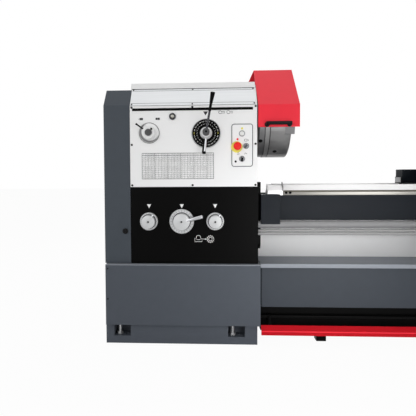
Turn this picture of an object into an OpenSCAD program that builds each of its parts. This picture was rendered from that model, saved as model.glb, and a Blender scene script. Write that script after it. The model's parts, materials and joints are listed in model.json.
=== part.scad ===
// Manual gap-bed engine lathe, complete: headstock, carriage, tailstock and cabinets.
// X runs along the bed towards the tailstock, Y towards the rear and Z up. Z = 0 is the
// floor. Sizes below are given in the headstock's own frame (X = 0 at the speed dial,
// Y = 0 at the headstock's front plate), and every part is then moved so that the whole
// machine is centred on the origin.

/* [Headstock] */
// Left end of the end cover
cover_left = -514; // [-540:1:-500]
// Plane where the end cover meets the headstock
head_left = -381; // [-390:1:-370]
// Right face of the headstock
head_right = 253; // [245:1:258]
// Rear face of the headstock
head_back = 560; // [540:5:600]
// Height of the front plate's lower edge
plate_bottom = 794; // [785:1:800]
// Height at which the front plate begins to slope back
plate_top = 1200; // [1190:1:1210]
// Height of the headstock's top, under its cover
head_top = 1297; // [1290:1:1310]
// Thickness of the cover on top
cover_t = 33; // [25:1:40]

/* [Spindle and chuck] */
// Height of the spindle's axis
axis_z = 1148; // [1140:1:1155]
// Distance of the spindle's axis behind the front plate
axis_y = 240; // [235:1:245]
// Radius of the hole through the spindle
spindle_bore_r = 52.5; // [30:0.5:55]
// Radius of the chuck
chuck_r = 200; // [180:1:200]
// Right face of the chuck
chuck_face = 430; // [425:1:435]

/* [Bed] */
// Right end of the bed
bed_right = 2300; // [2200:10:2400]
// Front face of the bed
bed_front = 60; // [60:1:62]
// Rear face of the bed
bed_back = 470; // [460:1:480]
// Underside of the bed's rails
rail_bottom = 622; // [610:1:630]
// Top of the painted side, where the ground strip begins
strip_bottom = 749; // [745:1:752]
// Flat top of the ways
way_z = 773; // [770:1:776]
// Top of the raised ways
prism_z = 801; // [795:1:805]
// Right end of the gap
gap_right = 388; // [385:1:392]

/* [Cabinets and tray] */
// Top of the cabinets
cabinet_top = 403; // [400:1:405]
// Underside of the cabinets, on their plinths
cabinet_bottom = 100; // [90:1:110]
// Left end of the right cabinet
right_leg_left = 1900; // [1850:10:1950]
// Front face of the cabinets
cabinet_front = -30; // [-35:1:-25]
// Rear face of the cabinets
cabinet_back = 540; // [530:1:560]
// Height of the tray's front lip
lip_top = 414; // [410:1:418]

/* [Carriage and tailstock] */
// Left end of the saddle at rest
saddle_left = 1120; // [1110:1:1140]
// Length of the saddle
saddle_len = 420; // [400:5:440]
// Left end of the tailstock at rest
tail_left = 1830; // [1820:1:1850]
// Radius of the quill
quill_r = 45; // [40:1:50]

/* [Hidden] */
$fn = 64;

e = 1;               // overshoot of every cut
wheel_reach = 2375;  // rightmost point of the machine, the tailstock's handwheel grip
front_reach = -195;  // frontmost point, the apron handwheel's grip
rear_reach = 700;    // rearmost point, the electrical cabinet
mid_x = (cover_left + wheel_reach) / 2;
mid_y = (front_reach + rear_reach) / 2;

paint = [0.31, 0.335, 0.36];
dark_paint = [0.2, 0.22, 0.245];
black = [0.06, 0.06, 0.065];
white = [0.97, 0.97, 0.97];
silver = [0.8, 0.8, 0.81];
steel = [0.62, 0.62, 0.62];
iron = [0.45, 0.45, 0.45];
red = [0.88, 0.16, 0.2];

lead_y = 28;         // lead screw's axis behind the front plate
lead_z = 603;
feed_rod_z = 557;
control_z = 572.5;
rod_right = 2240;
knob_z = 622;
dial_z = 1059;
slope_y = 80;        // depth of the sloping strip

// Moves a part from the headstock's frame to the machine's centre.
module placed() {
    translate([-mid_x, -mid_y, 0]) children();
}

// A box between two corners.
module span(a, b) {
    translate(a) cube(b - a);
}

// Draws along +X from x, with the local axes x and y becoming Y and Z.
module along_x(x, y = 0, z = 0) {
    translate([x, y, z]) rotate([90, 0, 90]) children();
}

// Draws out of the front plate, towards -Y, with local x and y becoming X and Z.
module facing(x, y, z) {
    translate([x, y, z]) rotate([90, 0, 0]) children();
}

// A round bar along +X.
module bar_x(x, y, z, len, r) {
    along_x(x, y, z) cylinder(h = len, r = r);
}

// A gear of n teeth of module m, with its bore, turned by phase.
module gear(n, m, h, bore, phase) {
    difference() {
        linear_extrude(h) union() {
            circle(r = m * (n / 2 - 1.25));
            for (i = [0:n - 1]) {
                rotate(phase + i * 360 / n) translate([m * (n / 2 - 1.5), 0])
                    polygon([[0, -m * 0.95], [m * 2.4, -m * 0.35], [m * 2.4, m * 0.35], [0, m * 0.95]]);
            }
        }
        translate([0, 0, -e]) cylinder(h = h + 2 * e, r = bore);
    }
}

// Bed casting: a foot under the headstock, two rails joined by ribs, a foot at the right
// end, ground ways and the bracket that carries the right ends of the three rods.
module bed() placed() color(dark_paint) {
    foot_w = 25;
    difference() {
        union() {
            span([-370, 180, cabinet_top], [250, bed_back, plate_bottom]);
            span([278, bed_front, rail_bottom], [bed_right, 150, strip_bottom]);
            span([240, 390, rail_bottom], [bed_right, bed_back, strip_bottom]);
            span([240, 181, rail_bottom], [300, 400, strip_bottom]);
            span([278, 140, rail_bottom], [300, 190, strip_bottom]);
            span([gap_right, bed_front, strip_bottom - e], [bed_right, 150, way_z]);
            span([gap_right, 390, strip_bottom - e], [bed_right, bed_back, way_z]);
            for (x = [520:280:2200]) span([x, 140, 650], [x + foot_w, 400, strip_bottom]);
            span([1950, bed_front + 20, cabinet_top], [bed_right, bed_back - 20, rail_bottom + e]);
            span([rod_right - 15, 0, 530], [rod_right + 20, bed_front + e, 640]);
            along_x(gap_right) way_profile();
            span([gap_right, 425, way_z - e], [bed_right, 465, prism_z]);
        }
        span([-345, 205, cabinet_top - e], [225, bed_back - 25, plate_bottom - 30]);
        span([1975, bed_front + 45, cabinet_top - e], [bed_right - 25, bed_back - 45, rail_bottom - 20]);
        bar_x(rod_right - 20, lead_y, lead_z, 50, lead_r + 0.06);
        bar_x(rod_right - 20, lead_y, feed_rod_z, 50, feed_rod_r + 0.06);
        bar_x(rod_right - 20, lead_y, control_z, 50, control_r + 0.06);
    }
}
lead_r = 18;
feed_rod_r = 8;
control_r = 6.5;

// Raised front way, drawn in the YZ plane and run to the bed's right end.
module way_profile() {
    linear_extrude(bed_right - gap_right)
        polygon([[72, way_z - e], [118, way_z - e], [98, prism_z], [92, prism_z]]);
}

// Removable piece of the ways, over the gap.
module gap_bridge() placed() color(steel) {
    front_left = 313;
    rear_left = 357;
    bridge_right = gap_right - 0.5;
    span([front_left, bed_front, strip_bottom], [bridge_right, 150, way_z - 2]);
    span([rear_left, 149, strip_bottom], [bridge_right, bed_back, way_z - 2]);
    along_x(front_left) linear_extrude(bridge_right - front_left)
        polygon([[66, way_z - 3], [124, way_z - 3], [104, prism_z - 2], [86, prism_z - 2]]);
    span([rear_left, 425, way_z - 3], [bridge_right, 465, prism_z - 2]);
}

// Hollow cabinet on an inset plinth with four open pockets for its feet.
module pedestal(left, right, plinth_left, plinth_right, pockets) {
    wall = 8;
    plinth_front = -10;
    plinth_back = 520;
    difference() {
        union() {
            span([left, cabinet_front, cabinet_bottom], [right, cabinet_back, cabinet_top]);
            span([plinth_left, plinth_front, 0], [plinth_right, plinth_back, cabinet_bottom + e]);
        }
        span([left + wall, cabinet_front + wall, cabinet_bottom + wall],
             [right - wall, cabinet_back - wall, cabinet_top - wall]);
        span([plinth_left + 135, plinth_front + wall, -e],
             [plinth_right - 155, plinth_back - wall, cabinet_bottom - 4]);
        bar_x(left - e, pedal_pin_y, pedal_pin_z, right - left + 2 * e, pedal_shaft_r + 0.06);
        for (x = pockets) {
            for (y = [plinth_front - e, plinth_back - 75]) span([x, y, 38], [x + 84, y + 76, 96]);
            for (y = [25, 485]) {
                translate([x + 24, y, -e]) cylinder(h = 50, r = 8.2);
                translate([x + 62, y, -e]) cylinder(h = 50, r = anchor_r);
            }
        }
    }
}
anchor_r = 9;
left_pockets = [-470, 108];
right_pockets = [1938, 2212];

module left_pedestal() placed() color(paint) difference() {
    pedestal(-508, 267, -511, 254, left_pockets);
    span([-500, input_y - 95, cabinet_top - 20], [-430, input_y + 95, cabinet_top + e]);
}

module right_pedestal() placed() color(paint)
    pedestal(right_leg_left, 2330, right_leg_left + 12, 2318, right_pockets);

// Chip tray between the cabinets, with a thin sheet that runs on under the feed box.
module chip_tray() placed() color([0.62, 0.64, 0.67]) {
    tray_left = 268;
    tray_right = right_leg_left - 1;
    floor_z = 394;
    difference() {
        span([tray_left, cabinet_front, floor_z], [tray_right, cabinet_back, lip_top]);
        span([tray_left + 3, cabinet_front + 3, floor_z + 4], [tray_right - 3, cabinet_back - 3, lip_top + e]);
    }
    span([-508, cabinet_front, cabinet_top], [tray_left + 3, 178, cabinet_top + 4]);
}

// Light sheet that stands behind the rods and turns the chips into the tray.
module chip_wall() placed() color([0.92, 0.92, 0.92]) {
    span([272, 274, 398], [1895, 277, 620]);
    span([272, 274, 398], [1895, 300, 401]);
}

// Front sheet under the tray, folded back along its edges.
module front_skirt() placed() color(paint) {
    left = 273;
    right = right_leg_left - 2;
    span([left, -12, 194], [right, -10, 394]);
    span([left, -12, 194], [right, 20, 196]);
    span([left, -12, 392], [right, 20, 394]);
}

// Closed coolant tank on four feet.
module coolant_tank() placed() color(black) {
    difference() {
        span([273, 30, 60], [1880, 500, 385]);
        span([277, 34, 64], [1876, 496, 381]);
    }
    for (x = [560, 1800]) for (y = [50, 430]) span([x, y, 0], [x + 50, y + 50, 61]);
    span([300, 200, 384], [340, 260, 394]);
    span([1840, 200, 384], [1880, 260, 394]);
}

housing_wall = 22;
bearing_or = 100;
input_y = 410;
input_z = 1010;
stud_y = 240;
guard_pin_y = 500;
guard_pin_z = 1262;
guard_right = 461;

hinge_heights = [840, 1190];
hinge_len = 28;

// One half of the end cover's hinge: a knuckle on the hinge's axis and its leaf, to the
// left (side -1) or to the right (side 1) of that axis.
module hinge_half(z, side) {
    translate([head_left, head_back + 6, z]) cylinder(h = hinge_len, r = 5.5);
    translate([head_left + 13.5 * side - 10.5, head_back - 1, z]) cube([21, 4, hinge_len]);
}

// Headstock casting: walls round a hollow, with bores for the spindle's bearings and the
// input shaft, the fixed stud of the change gears and the pin of the chuck guard.
module headstock_housing() placed() color(white) difference() {
    union() {
        difference() {
            along_x(head_left) linear_extrude(head_right - head_left)
                polygon([[6, plate_bottom], [6, plate_top], [slope_y + 5, head_top], [head_back, head_top],
                         [head_back, plate_bottom]]);
            along_x(head_left + housing_wall) linear_extrude(head_right - head_left - 2 * housing_wall)
                polygon([[28, plate_bottom + 22], [28, plate_top - 8], [slope_y + 18, head_top - 22],
                         [head_back - 22, head_top - 22], [head_back - 22, plate_bottom + 22]]);
        }
        bar_x(head_left - 54, stud_y, stud_z, 76, 15);
        bar_x(head_right - 10, guard_pin_y, guard_pin_z, guard_right - head_right + 10, 12);
        for (z = hinge_heights) hinge_half(z + hinge_len + 0.3, 1);
    }
    bar_x(head_left - e, axis_y, axis_z, housing_wall + 2 * e, bearing_or);
    bar_x(head_right - housing_wall - e, axis_y, axis_z, housing_wall + 2 * e, bearing_or);
    bar_x(head_left - e, input_y, input_z, housing_wall + 2 * e, 20.06);
    for (p = concat(shaft_holes, push_holes)) facing(p[0], 40, p[1]) cylinder(h = 60, r = p[2]);
}

// Cover on top of the headstock, chamfered along its front.
module headstock_cover() placed() color([0.88, 0.88, 0.88]) difference() {
    along_x(head_left - 6) linear_extrude(head_right - head_left + 3)
        polygon([[slope_y - 2, head_top], [slope_y + 4, head_top + 12], [98, head_top + cover_t],
                 [head_back + 6, head_top + cover_t], [head_back + 6, head_top]]);
    span([head_left + 20, 120, head_top - e], [head_right - 20, head_back - 20, head_top + cover_t - 8]);
}

dial_x = 0;
reverse_x = -284;
reverse_z = 1064;
panel_t = 3;
shaft_holes = [[dial_x, dial_z, 16.3], [reverse_x, reverse_z, 10.2]];

// White sheet on the front of the headstock.
module front_plate() placed() color(white) difference() {
    span([head_left, 0, plate_bottom], [head_right - 2, 6, plate_top]);
    for (p = concat(shaft_holes, push_holes)) facing(p[0], 10, p[1]) cylinder(h = 20, r = p[2]);
}

// Grey strip on the headstock's sloping front.
module sloping_strip() placed() color([0.84, 0.84, 0.84])
    along_x(head_left) linear_extrude(head_right - head_left - 8)
        polygon([[0, plate_top], [6, plate_top], [slope_y + 5, head_top], [slope_y - 1, head_top]]);

knob_x = [-288, -123, 44];
knob_shaft_r = 9;

// Feed gearbox: a casting in front of the bed's foot, with its front sheet and the flange
// on its right end.
module feed_box() placed() color(black) difference() {
    union() {
        difference() {
            span([head_left, 0, cabinet_top + 5], [258, 178, plate_bottom]);
            span([head_left + 20, 20, cabinet_top + 25], [238, 158, plate_bottom - 20]);
        }
        along_x(257) linear_extrude(20)
            polygon([[60, 500], [80, 473], [178, 473], [178, 816], [60, 816]]);
    }
    for (x = knob_x)
        translate([x, 30, knob_z]) rotate([90, 0, 0]) cylinder(h = 40, r = knob_shaft_r + 0.08);
    bar_x(head_left - e, feed_gear_y, feed_gear_z, 22, 14.06);
    bar_x(237, lead_y, lead_z, 30, lead_r + 0.06);
    bar_x(237, lead_y, feed_rod_z, 30, feed_rod_r + 0.06);
    bar_x(237, lead_y, control_z, 30, control_r + 0.06);
}

motor_z = 250;
motor_pulley_r = 60;
input_pulley_r = 105;
belt_t = 9;

// Main motor with its pulley, lying in the left cabinet.
module motor() placed() color(iron) {
    bar_x(-415, input_y, motor_z, 330, 100);
    for (a = [0:20:340])
        along_x(-395, input_y, motor_z) rotate(a) translate([98, -3, 0]) cube([14, 6, 280]);
    bar_x(-490, input_y, motor_z, 90, 19);
    bar_x(-495, input_y, motor_z, 56, motor_pulley_r);
    span([-360, input_y - 70, cabinet_bottom + 8], [-140, input_y + 70, motor_z - 80]);
}

// Three belts round the two pulleys.
module drive_belts() placed() color(black)
    for (x = [-492, -474, -456]) translate([x, 0, 0]) rotate([90, 0, 90]) linear_extrude(13) difference() {
        belt_loop(belt_t);
        belt_loop(0.3);
    }

// Outline round both pulleys, grown by t.
module belt_loop(t) {
    hull() {
        translate([input_y, motor_z]) circle(r = motor_pulley_r + t, $fn = 48);
        translate([input_y, input_z]) circle(r = input_pulley_r + t, $fn = 48);
    }
}

panel_left = 126;
panel_right = 230;
panel_bottom = 894;
panel_top = 1104;
start_x = 177;
start_z = 1057;
stop_x = 154;
stop_z = 994;
side_x = 197;
side_z = 995;
lower_x = 177;
lower_z = 932;
start_r = 11;
stop_r = 12;
push_holes = [[start_x, start_z, start_r + 0.2], [stop_x, stop_z, stop_r + 0.2]];

// Sheet that carries the push buttons and selectors.
module switch_panel() placed() color([0.94, 0.94, 0.95]) difference() {
    facing(0, 0, 0) linear_extrude(panel_t) hull() for (x = [panel_left + 12, panel_right - 12])
        for (z = [panel_bottom + 12, panel_top - 12]) translate([x, z]) circle(r = 12, $fn = 32);
    for (p = push_holes) facing(p[0], e, p[1]) cylinder(h = 10, r = p[2]);
}

// Numbered disc of the speed dial on its flange.
module dial_plate() placed() color(black) difference() {
    union() {
        facing(dial_x, 0, dial_z) cylinder(h = 14, r = 74);
        facing(dial_x, -14, dial_z) cylinder(h = 5, r = 67);
    }
    facing(dial_x, e, dial_z) cylinder(h = 40, r = 16.3);
}

// Bearing rings in the two end walls.
module spindle_bearings() placed() color(steel)
    for (x = [head_left, head_right - housing_wall]) along_x(x, axis_y, axis_z) difference() {
        cylinder(h = housing_wall, r = bearing_or);
        translate([0, 0, -e]) cylinder(h = housing_wall + 2 * e, r = spindle_r + 0.05);
    }

// Cover over the lead screw's coupling, open underneath.
module coupling_cover() placed() color(dark_paint) difference() {
    span([272, 4, 606], [367, bed_front, strip_bottom + 6]);
    span([277, 9, 605], [362, bed_front + e, strip_bottom + 1]);
    span([271, 9, 605], [368, bed_front + e, 625]);
}

// Levelling bolts in the plinths' pockets, each with its nut.
module levelling_feet() placed() color(steel)
    for (x = concat(left_pockets, right_pockets)) for (y = [25, 485]) translate([x + 24, y, 0]) {
        cylinder(h = 84, r = 8);
        translate([0, 0, 38.5]) cylinder(h = 12, r = 15, $fn = 6);
    }

// Small domed screws that hold the front sheets.
module screws() placed() color(black) {
    screw_x = [head_left + 9, -68, head_right - 9];
    for (x = screw_x) for (z = [plate_bottom + 9, plate_top - 9]) facing(x, 0, z) screw_head();
    for (x = [screw_x[0], screw_x[2]]) facing(x, 0, 1006) screw_head();
    for (z = [748, 517]) facing(screw_x[0], 0, z) screw_head();
}

module screw_head() {
    cylinder(h = 2.5, r = 3.6);
}

// Electrical cabinet on the headstock's rear.
module electrical_cabinet() placed() color(paint) difference() {
    span([-330, head_back, 820], [200, rear_reach, 1280]);
    span([-326, head_back + 4, 824], [196, rear_reach - 4, 1276]);
}

spindle_r = 75;
tooth_m = 4;
spindle_teeth = 40;
stud_teeth = 75;
feed_teeth = 60;
stud_dist = tooth_m * (spindle_teeth + stud_teeth) / 2;
feed_dist = tooth_m * (stud_teeth + feed_teeth) / 2;
feed_gear_y = 140;
stud_z = axis_z - stud_dist;
feed_gear_z = stud_z - sqrt(feed_dist * feed_dist - pow(stud_y - feed_gear_y, 2));
gear_x = -432;
stud_phase = mesh_phase(spindle_teeth, stud_teeth, 270, 0);
feed_phase = mesh_phase(stud_teeth, feed_teeth, atan2(feed_gear_z - stud_z, feed_gear_y - stud_y), stud_phase);

// Angle of a gear's first tooth so that it meshes with a gear whose first tooth is at
// phase a, when the second lies in direction dir from the first.
function mesh_phase(na, nb, dir, a) = dir + 180 + 180 / nb + na / nb * (dir - a);

// Spindle with its nose flange and the first change gear, bored right through.
module spindle() placed() color(steel) {
    along_x(0, axis_y, axis_z) rotate_extrude() polygon([
        [spindle_bore_r, -455], [70, -455], [70, -400], [spindle_r, -385], [spindle_r, 256],
        [115, 256], [115, 262], [110, 268], [spindle_bore_r, 268]]);
    along_x(gear_x, axis_y, axis_z) gear(spindle_teeth, tooth_m, 26, 69, 0);
}

// Plate between the spindle's nose and the chuck.
module chuck_backplate() placed() color([0.33, 0.33, 0.34]) difference() {
    along_x(0, axis_y, axis_z) rotate_extrude() polygon([
        [60, 268], [chuck_r - 6, 268], [chuck_r - 2, 272], [chuck_r - 2, 297], [chuck_r - 6, chuck_back],
        [60, chuck_back]]);
    for (a = jaw_angles) along_x(0, axis_y, axis_z) rotate(a + 18)
        translate([chuck_r - 30, 0, 277]) rotate([0, 90, 0]) cylinder(h = 40, r = 8);
}

jaw_w = 50;
jaw_angles = [200, 320, 80];
jaw_base_x = 398;    // bottom of the jaws' slots in the chuck's face
chuck_back = 300;    // joint between the chuck and its backplate
jaw_gap = 0.3;

// Chuck body: grooved drum with jaw slots and key sockets.
module chuck_body() placed() color(iron) difference() {
    along_x(0, axis_y, axis_z) rotate_extrude() polygon([
        [60, chuck_back], [chuck_r, chuck_back], [chuck_r, 322], [chuck_r - 1.5, 323], [chuck_r - 1.5, 325],
        [chuck_r, 326], [chuck_r, chuck_face - 8], [chuck_r - 3, chuck_face - 3], [chuck_r - 8, chuck_face],
        [60, chuck_face]]);
    for (a = jaw_angles) along_x(0, axis_y, axis_z) rotate(a) {
        translate([40, -jaw_w / 2 - jaw_gap, jaw_base_x]) cube([chuck_r, jaw_w + 2 * jaw_gap, 60]);
        rotate(40) translate([chuck_r - 40, 0, 358]) rotate([0, 90, 0]) cylinder(h = 50, r = 11);
    }
}

// One reversed jaw, highest at its outer end and stepped down towards the spindle's axis.
module chuck_jaw(angle) placed() color(steel) along_x(0, axis_y, axis_z) rotate(angle)
    translate([0, jaw_w / 2, 0]) rotate([90, 0, 0]) linear_extrude(jaw_w) polygon([
        [92, jaw_base_x + jaw_gap], [196, jaw_base_x + jaw_gap], [196, chuck_face + 17], [170, chuck_face + 17],
        [170, chuck_face + 12], [142, chuck_face + 12], [142, chuck_face + 7], [114, chuck_face + 7],
        [114, chuck_face + 2], [92, chuck_face + 2]]);
module chuck_jaw_1() chuck_jaw(jaw_angles[0]);
module chuck_jaw_2() chuck_jaw(jaw_angles[1]);
module chuck_jaw_3() chuck_jaw(jaw_angles[2]);

// Large change gear on the fixed stud.
module stud_gear() placed() color(steel)
    along_x(gear_x, stud_y, stud_z) gear(stud_teeth, tooth_m, 26, 15.06, stud_phase);

// Last change gear on the feed gearbox's input shaft.
module feed_gear() placed() color(steel) {
    along_x(gear_x, feed_gear_y, feed_gear_z) gear(feed_teeth, tooth_m, 26, 13, feed_phase);
    bar_x(gear_x - 5, feed_gear_y, feed_gear_z, 90, 14);
}

// Headstock's input pulley on its shaft.
module input_pulley() placed() color(iron) {
    bar_x(-495, input_y, input_z, 56, input_pulley_r);
    bar_x(-440, input_y, input_z, 90, 20);
}

// Sheet hood over the chuck, hung on a tube round its pin.
module chuck_guard() placed() color(red) {
    guard_left = 256;
    guard_w = guard_right - guard_left - 2;
    sheet = 3;
    outer = [[-8, 1087], [-8, 1197], [220, 1415], [guard_pin_y + 18, 1415], [guard_pin_y + 18, guard_pin_z]];
    inner = [[guard_pin_y + 18 - sheet, guard_pin_z], [guard_pin_y + 18 - sheet, 1415 - sheet],
             [221.2, 1415 - sheet], [sheet - 8, 1195.7], [sheet - 8, 1087]];
    along_x(guard_left) linear_extrude(guard_w) polygon(concat(outer, inner));
    difference() {
        bar_x(guard_left, guard_pin_y, guard_pin_z, guard_w, 18);
        bar_x(guard_left - e, guard_pin_y, guard_pin_z, guard_w + 2 * e, 12.06);
    }
}

// Bar handle on the guard's front, on two posts.
module guard_handle() placed() color(black) {
    bar_x(290, -32, 1104, 128, 9);
    for (x = [299, 409]) facing(x, -8, 1104) cylinder(h = 24, r = 8);
}

cover_wall = 4;
cover_bottom = 409;
bar_hole_r = 62;     // hole in the end cover for long bars through the spindle

// Hinged cover over the belts and change gears.
module end_cover() placed() color([0.28, 0.3, 0.32]) {
    front_y = 0;
    back_y = head_back;
    difference() {
        along_x(cover_left) linear_extrude(head_left - cover_left - 1) polygon([
            [front_y, cover_bottom], [front_y, plate_top + 3], [slope_y, head_top - 4], [back_y, head_top - 4],
            [back_y, cover_bottom]]);
        along_x(cover_left + cover_wall) linear_extrude(head_left - cover_left) polygon([
            [front_y + cover_wall, cover_bottom - e], [front_y + cover_wall, plate_top + 1],
            [slope_y + 2, head_top - 8], [back_y - cover_wall, head_top - 8],
            [back_y - cover_wall, cover_bottom - e]]);
        facing(-409, cover_wall + e, 572) cylinder(h = 12, r = 8.1);
        bar_x(cover_left - e, axis_y, axis_z, cover_wall + 2 * e, bar_hole_r);
    }
    for (z = hinge_heights) hinge_half(z, -1);
}

// Round latch near the cover's front edge.
module cover_latch() placed() color(black) {
    facing(-409, cover_wall + 4, 572) cylinder(h = 12, r = 8);
    facing(-409, -0.5, 572) cylinder(h = 8, r = 14);
    facing(-409, -8, 572) translate([-3, -12, 0]) cube([6, 24, 6]);
}

lever_reach = 110;   // how far the speed lever's hub stands out

// Long speed lever: its shaft, hub and rod with a black grip.
module speed_lever() placed() color(black) {
    facing(dial_x, 36, dial_z) cylinder(h = 36 + lever_reach - 20, r = 12);
    facing(dial_x, -62, dial_z) cylinder(h = lever_reach - 62, r = 20);
    facing(dial_x, -92, dial_z) rotate(80) rotate([0, 90, 0]) cylinder(h = 170, r1 = 10, r2 = 6.5);
    facing(dial_x, -92, dial_z) rotate(80) translate([140, 0, 0]) rotate([0, 90, 0]) cylinder(h = 56, r = 11.5);
}

// Range lever: a sleeve round the speed lever's shaft, with a rod and knob below.
module range_lever() placed() color(silver) {
    facing(dial_x, 30, dial_z) difference() {
        union() {
            cylinder(h = 88, r = 16.2);
            translate([0, 0, 50]) cylinder(h = 40, r = 30);
        }
        translate([0, 0, -e]) cylinder(h = 100, r = 12.06);
    }
    facing(dial_x, -42, dial_z) rotate(264) translate([26, 0, 0]) rotate([0, 90, 0]) cylinder(h = 70, r = 6);
    facing(dial_x, -42, dial_z) rotate(264) translate([90, 0, 0]) rotate([0, 90, 0]) cylinder(h = 13, r = 9);
}

// Small lever that reverses the feed, in its cup-shaped hub.
module reverse_lever() placed() color(silver) {
    facing(reverse_x, 36, reverse_z) cylinder(h = 70, r = 10);
    facing(reverse_x, -0.5, reverse_z) cylinder(h = 6, r = 49);
    facing(reverse_x, -6, reverse_z) cylinder(h = 20, r1 = 44, r2 = 31);
    facing(reverse_x, -25, reverse_z) cylinder(h = 14, r = 31);
    facing(reverse_x, -38, reverse_z) cylinder(h = 6, r = 17);
    facing(reverse_x, -31, reverse_z) rotate(145) rotate([0, 90, 0]) cylinder(h = 70, r = 4);
    facing(reverse_x, -31, reverse_z) rotate(145) translate([63, 0, 0]) rotate([0, 90, 0]) cylinder(h = 13, r = 5);
}

// Feed selector knob: shaft, knurled base disc, flat face with a centre hole, and a tab.
module feed_knob(x, r, face_r, tab_angle, tab_len) placed() color(silver) {
    facing(x, 28, knob_z) cylinder(h = 30, r = knob_shaft_r);
    facing(x, -0.5, knob_z) cylinder(h = 16, r = r);
    facing(x, -16, knob_z) difference() {
        cylinder(h = 34, r = face_r);
        translate([0, 0, 20]) cylinder(h = 15, r = 5);
    }
    facing(x, -36, knob_z) rotate(tab_angle) translate([face_r * 0.6, -5, 0]) cube([tab_len, 10, 10]);
}
module feed_knob_left() feed_knob(knob_x[0], 45, 33, 55, 24);
module feed_knob_middle() feed_knob(knob_x[1], 61.5, 41, 14, 83);
module feed_knob_right() feed_knob(knob_x[2], 44, 32, 55, 24);

// Push button: stem and head, in the switch panel.
module start_button() placed() color(white)
    facing(start_x, 6, start_z) cylinder(h = 18, r = start_r);

// Emergency stop with its mushroom head.
module stop_button() placed() color(red)
    facing(stop_x, 0, stop_z) {
        translate([0, 0, -6]) cylinder(h = 30, r = stop_r);
        translate([0, 0, panel_t + 16]) cylinder(h = 12, r1 = 20, r2 = 16);
    }

// Rotary selector: a collar with a bar across it, turned to angle.
module selector(x, z, angle) {
    facing(x, -panel_t, z) {
        cylinder(h = 8, r = 14.7);
        rotate(angle) translate([-13, -4.5, 0]) cube([26, 9, 20]);
    }
}
module side_selector() placed() color([0.5, 0.5, 0.52]) selector(side_x, side_z, 50);
module lower_selector() placed() color(black) selector(lower_x, lower_z, 90);

// Rods between the feed box and the bed's right bracket.
module lead_screw() placed() color(steel) bar_x(240, lead_y, lead_z, rod_right - 236, lead_r);
module feed_rod() placed() color(steel) bar_x(240, lead_y, feed_rod_z, rod_right - 236, feed_rod_r);

// Control rod with its lever near the right bracket.
module control_rod() placed() color(black) {
    bar_x(240, lead_y, control_z, rod_right - 180, control_r);
    bar_x(rod_right + 24, lead_y, control_z, 36, 16);
    translate([rod_right + 42, lead_y, control_z]) rotate([90, 0, 0]) cylinder(h = 130, r = 7);
    translate([rod_right + 42, lead_y - 130, control_z]) rotate([90, 0, 0]) cylinder(h = 50, r = 13);
}

pedal_pin_y = 15;
pedal_pin_z = 140;
pedal_shaft_r = 8;

// Foot brake: folded bar along the front, on two arms that turn on a shaft.
module brake_pedal() placed() color(red) {
    left = 269;
    right = right_leg_left - 20;
    along_x(left) linear_extrude(right - left) polygon([
        [-28, 107], [-48, 89], [-48, 62], [-45, 62], [-45, 87.5], [-26, 104.6]]);
    for (x = [left + 40, right - 60]) along_x(x) linear_extrude(12)
        polygon([[pedal_pin_y + 10, pedal_pin_z + 10], [pedal_pin_y + 10, pedal_pin_z - 12], [-44, 80], [-46, 90],
                 [-28, 105], [pedal_pin_y - 12, pedal_pin_z + 10]]);
    bar_x(257, pedal_pin_y, pedal_pin_z, right_leg_left + 10 - 257, pedal_shaft_r);
}

saddle_top = 880;
cross_x = saddle_left + saddle_len / 2;
screw_z = 838;

// Saddle: front and rear wings on the ways, joined by a bridge.
module saddle() placed() color(dark_paint) difference() {
    union() {
        span([saddle_left, -60, way_z + 28], [saddle_left + saddle_len, 150, saddle_top]);
        span([saddle_left, 62, way_z + 1], [saddle_left + saddle_len, 148, way_z + 30]);
        span([saddle_left, 392, prism_z + 0.5], [saddle_left + saddle_len, 480, saddle_top]);
        span([cross_x - 120, 140, way_z + 28], [cross_x + 120, 400, saddle_top]);
        span([saddle_left, 472, 735], [saddle_left + saddle_len, 480, prism_z + 2]);
    }
    along_x(saddle_left - e) linear_extrude(saddle_len + 2 * e)
        polygon([[68, way_z], [122, way_z], [101, prism_z + 1.5], [89, prism_z + 1.5]]);
    translate([cross_x, -20, screw_z]) rotate([90, 0, 0]) cylinder(h = 50, r = 12.06);
}

// Apron under the saddle's front, bored for the rods and the handwheel's shaft.
module apron() placed() color(paint) difference() {
    span([saddle_left + 30, -70, 500], [saddle_left + saddle_len - 30, 54, 800]);
    span([saddle_left + 60, -50, 640], [saddle_left + saddle_len - 60, 34, 780]);
    bar_x(saddle_left, lead_y, lead_z, saddle_len, lead_r + 0.08);
    bar_x(saddle_left, lead_y, feed_rod_z, saddle_len, feed_rod_r + 0.08);
    bar_x(saddle_left, lead_y, control_z, saddle_len, control_r + 0.08);
    translate([saddle_left + 110, -40, apron_wheel_z]) rotate([90, 0, 0]) cylinder(h = 50, r = 14.06);
}
apron_wheel_z = 700;

// Hand wheel drawn out of the local XY plane: rim, hub, three spokes, shaft and grip.
module hand_wheel(r, rim, shaft_r, shaft_back, hub_h) {
    rotate_extrude() translate([r - rim, hub_h - rim]) circle(r = rim);
    cylinder(h = hub_h + 4, r = shaft_r + 12);
    translate([0, 0, -shaft_back]) cylinder(h = shaft_back + e, r = shaft_r);
    for (a = [90, 210, 330]) rotate(a) translate([0, -8, hub_h - rim - 5]) cube([r - rim, 16, 10]);
}

module apron_handwheel() placed() color(silver) facing(saddle_left + 110, -71, apron_wheel_z) {
    hand_wheel(100, 10, 14, 28, 40);
    rotate(35) translate([90, 0, 30]) cylinder(h = -front_reach - 71 - 30, r = 12);
}

// Cross slide on the saddle, with the round seat of the top slide.
module cross_slide() placed() color(iron) {
    span([cross_x - 105, -60, saddle_top + 0.5], [cross_x + 105, 330, 945]);
    translate([cross_x, 60, 944]) cylinder(h = 36, r = 95);
}

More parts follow.
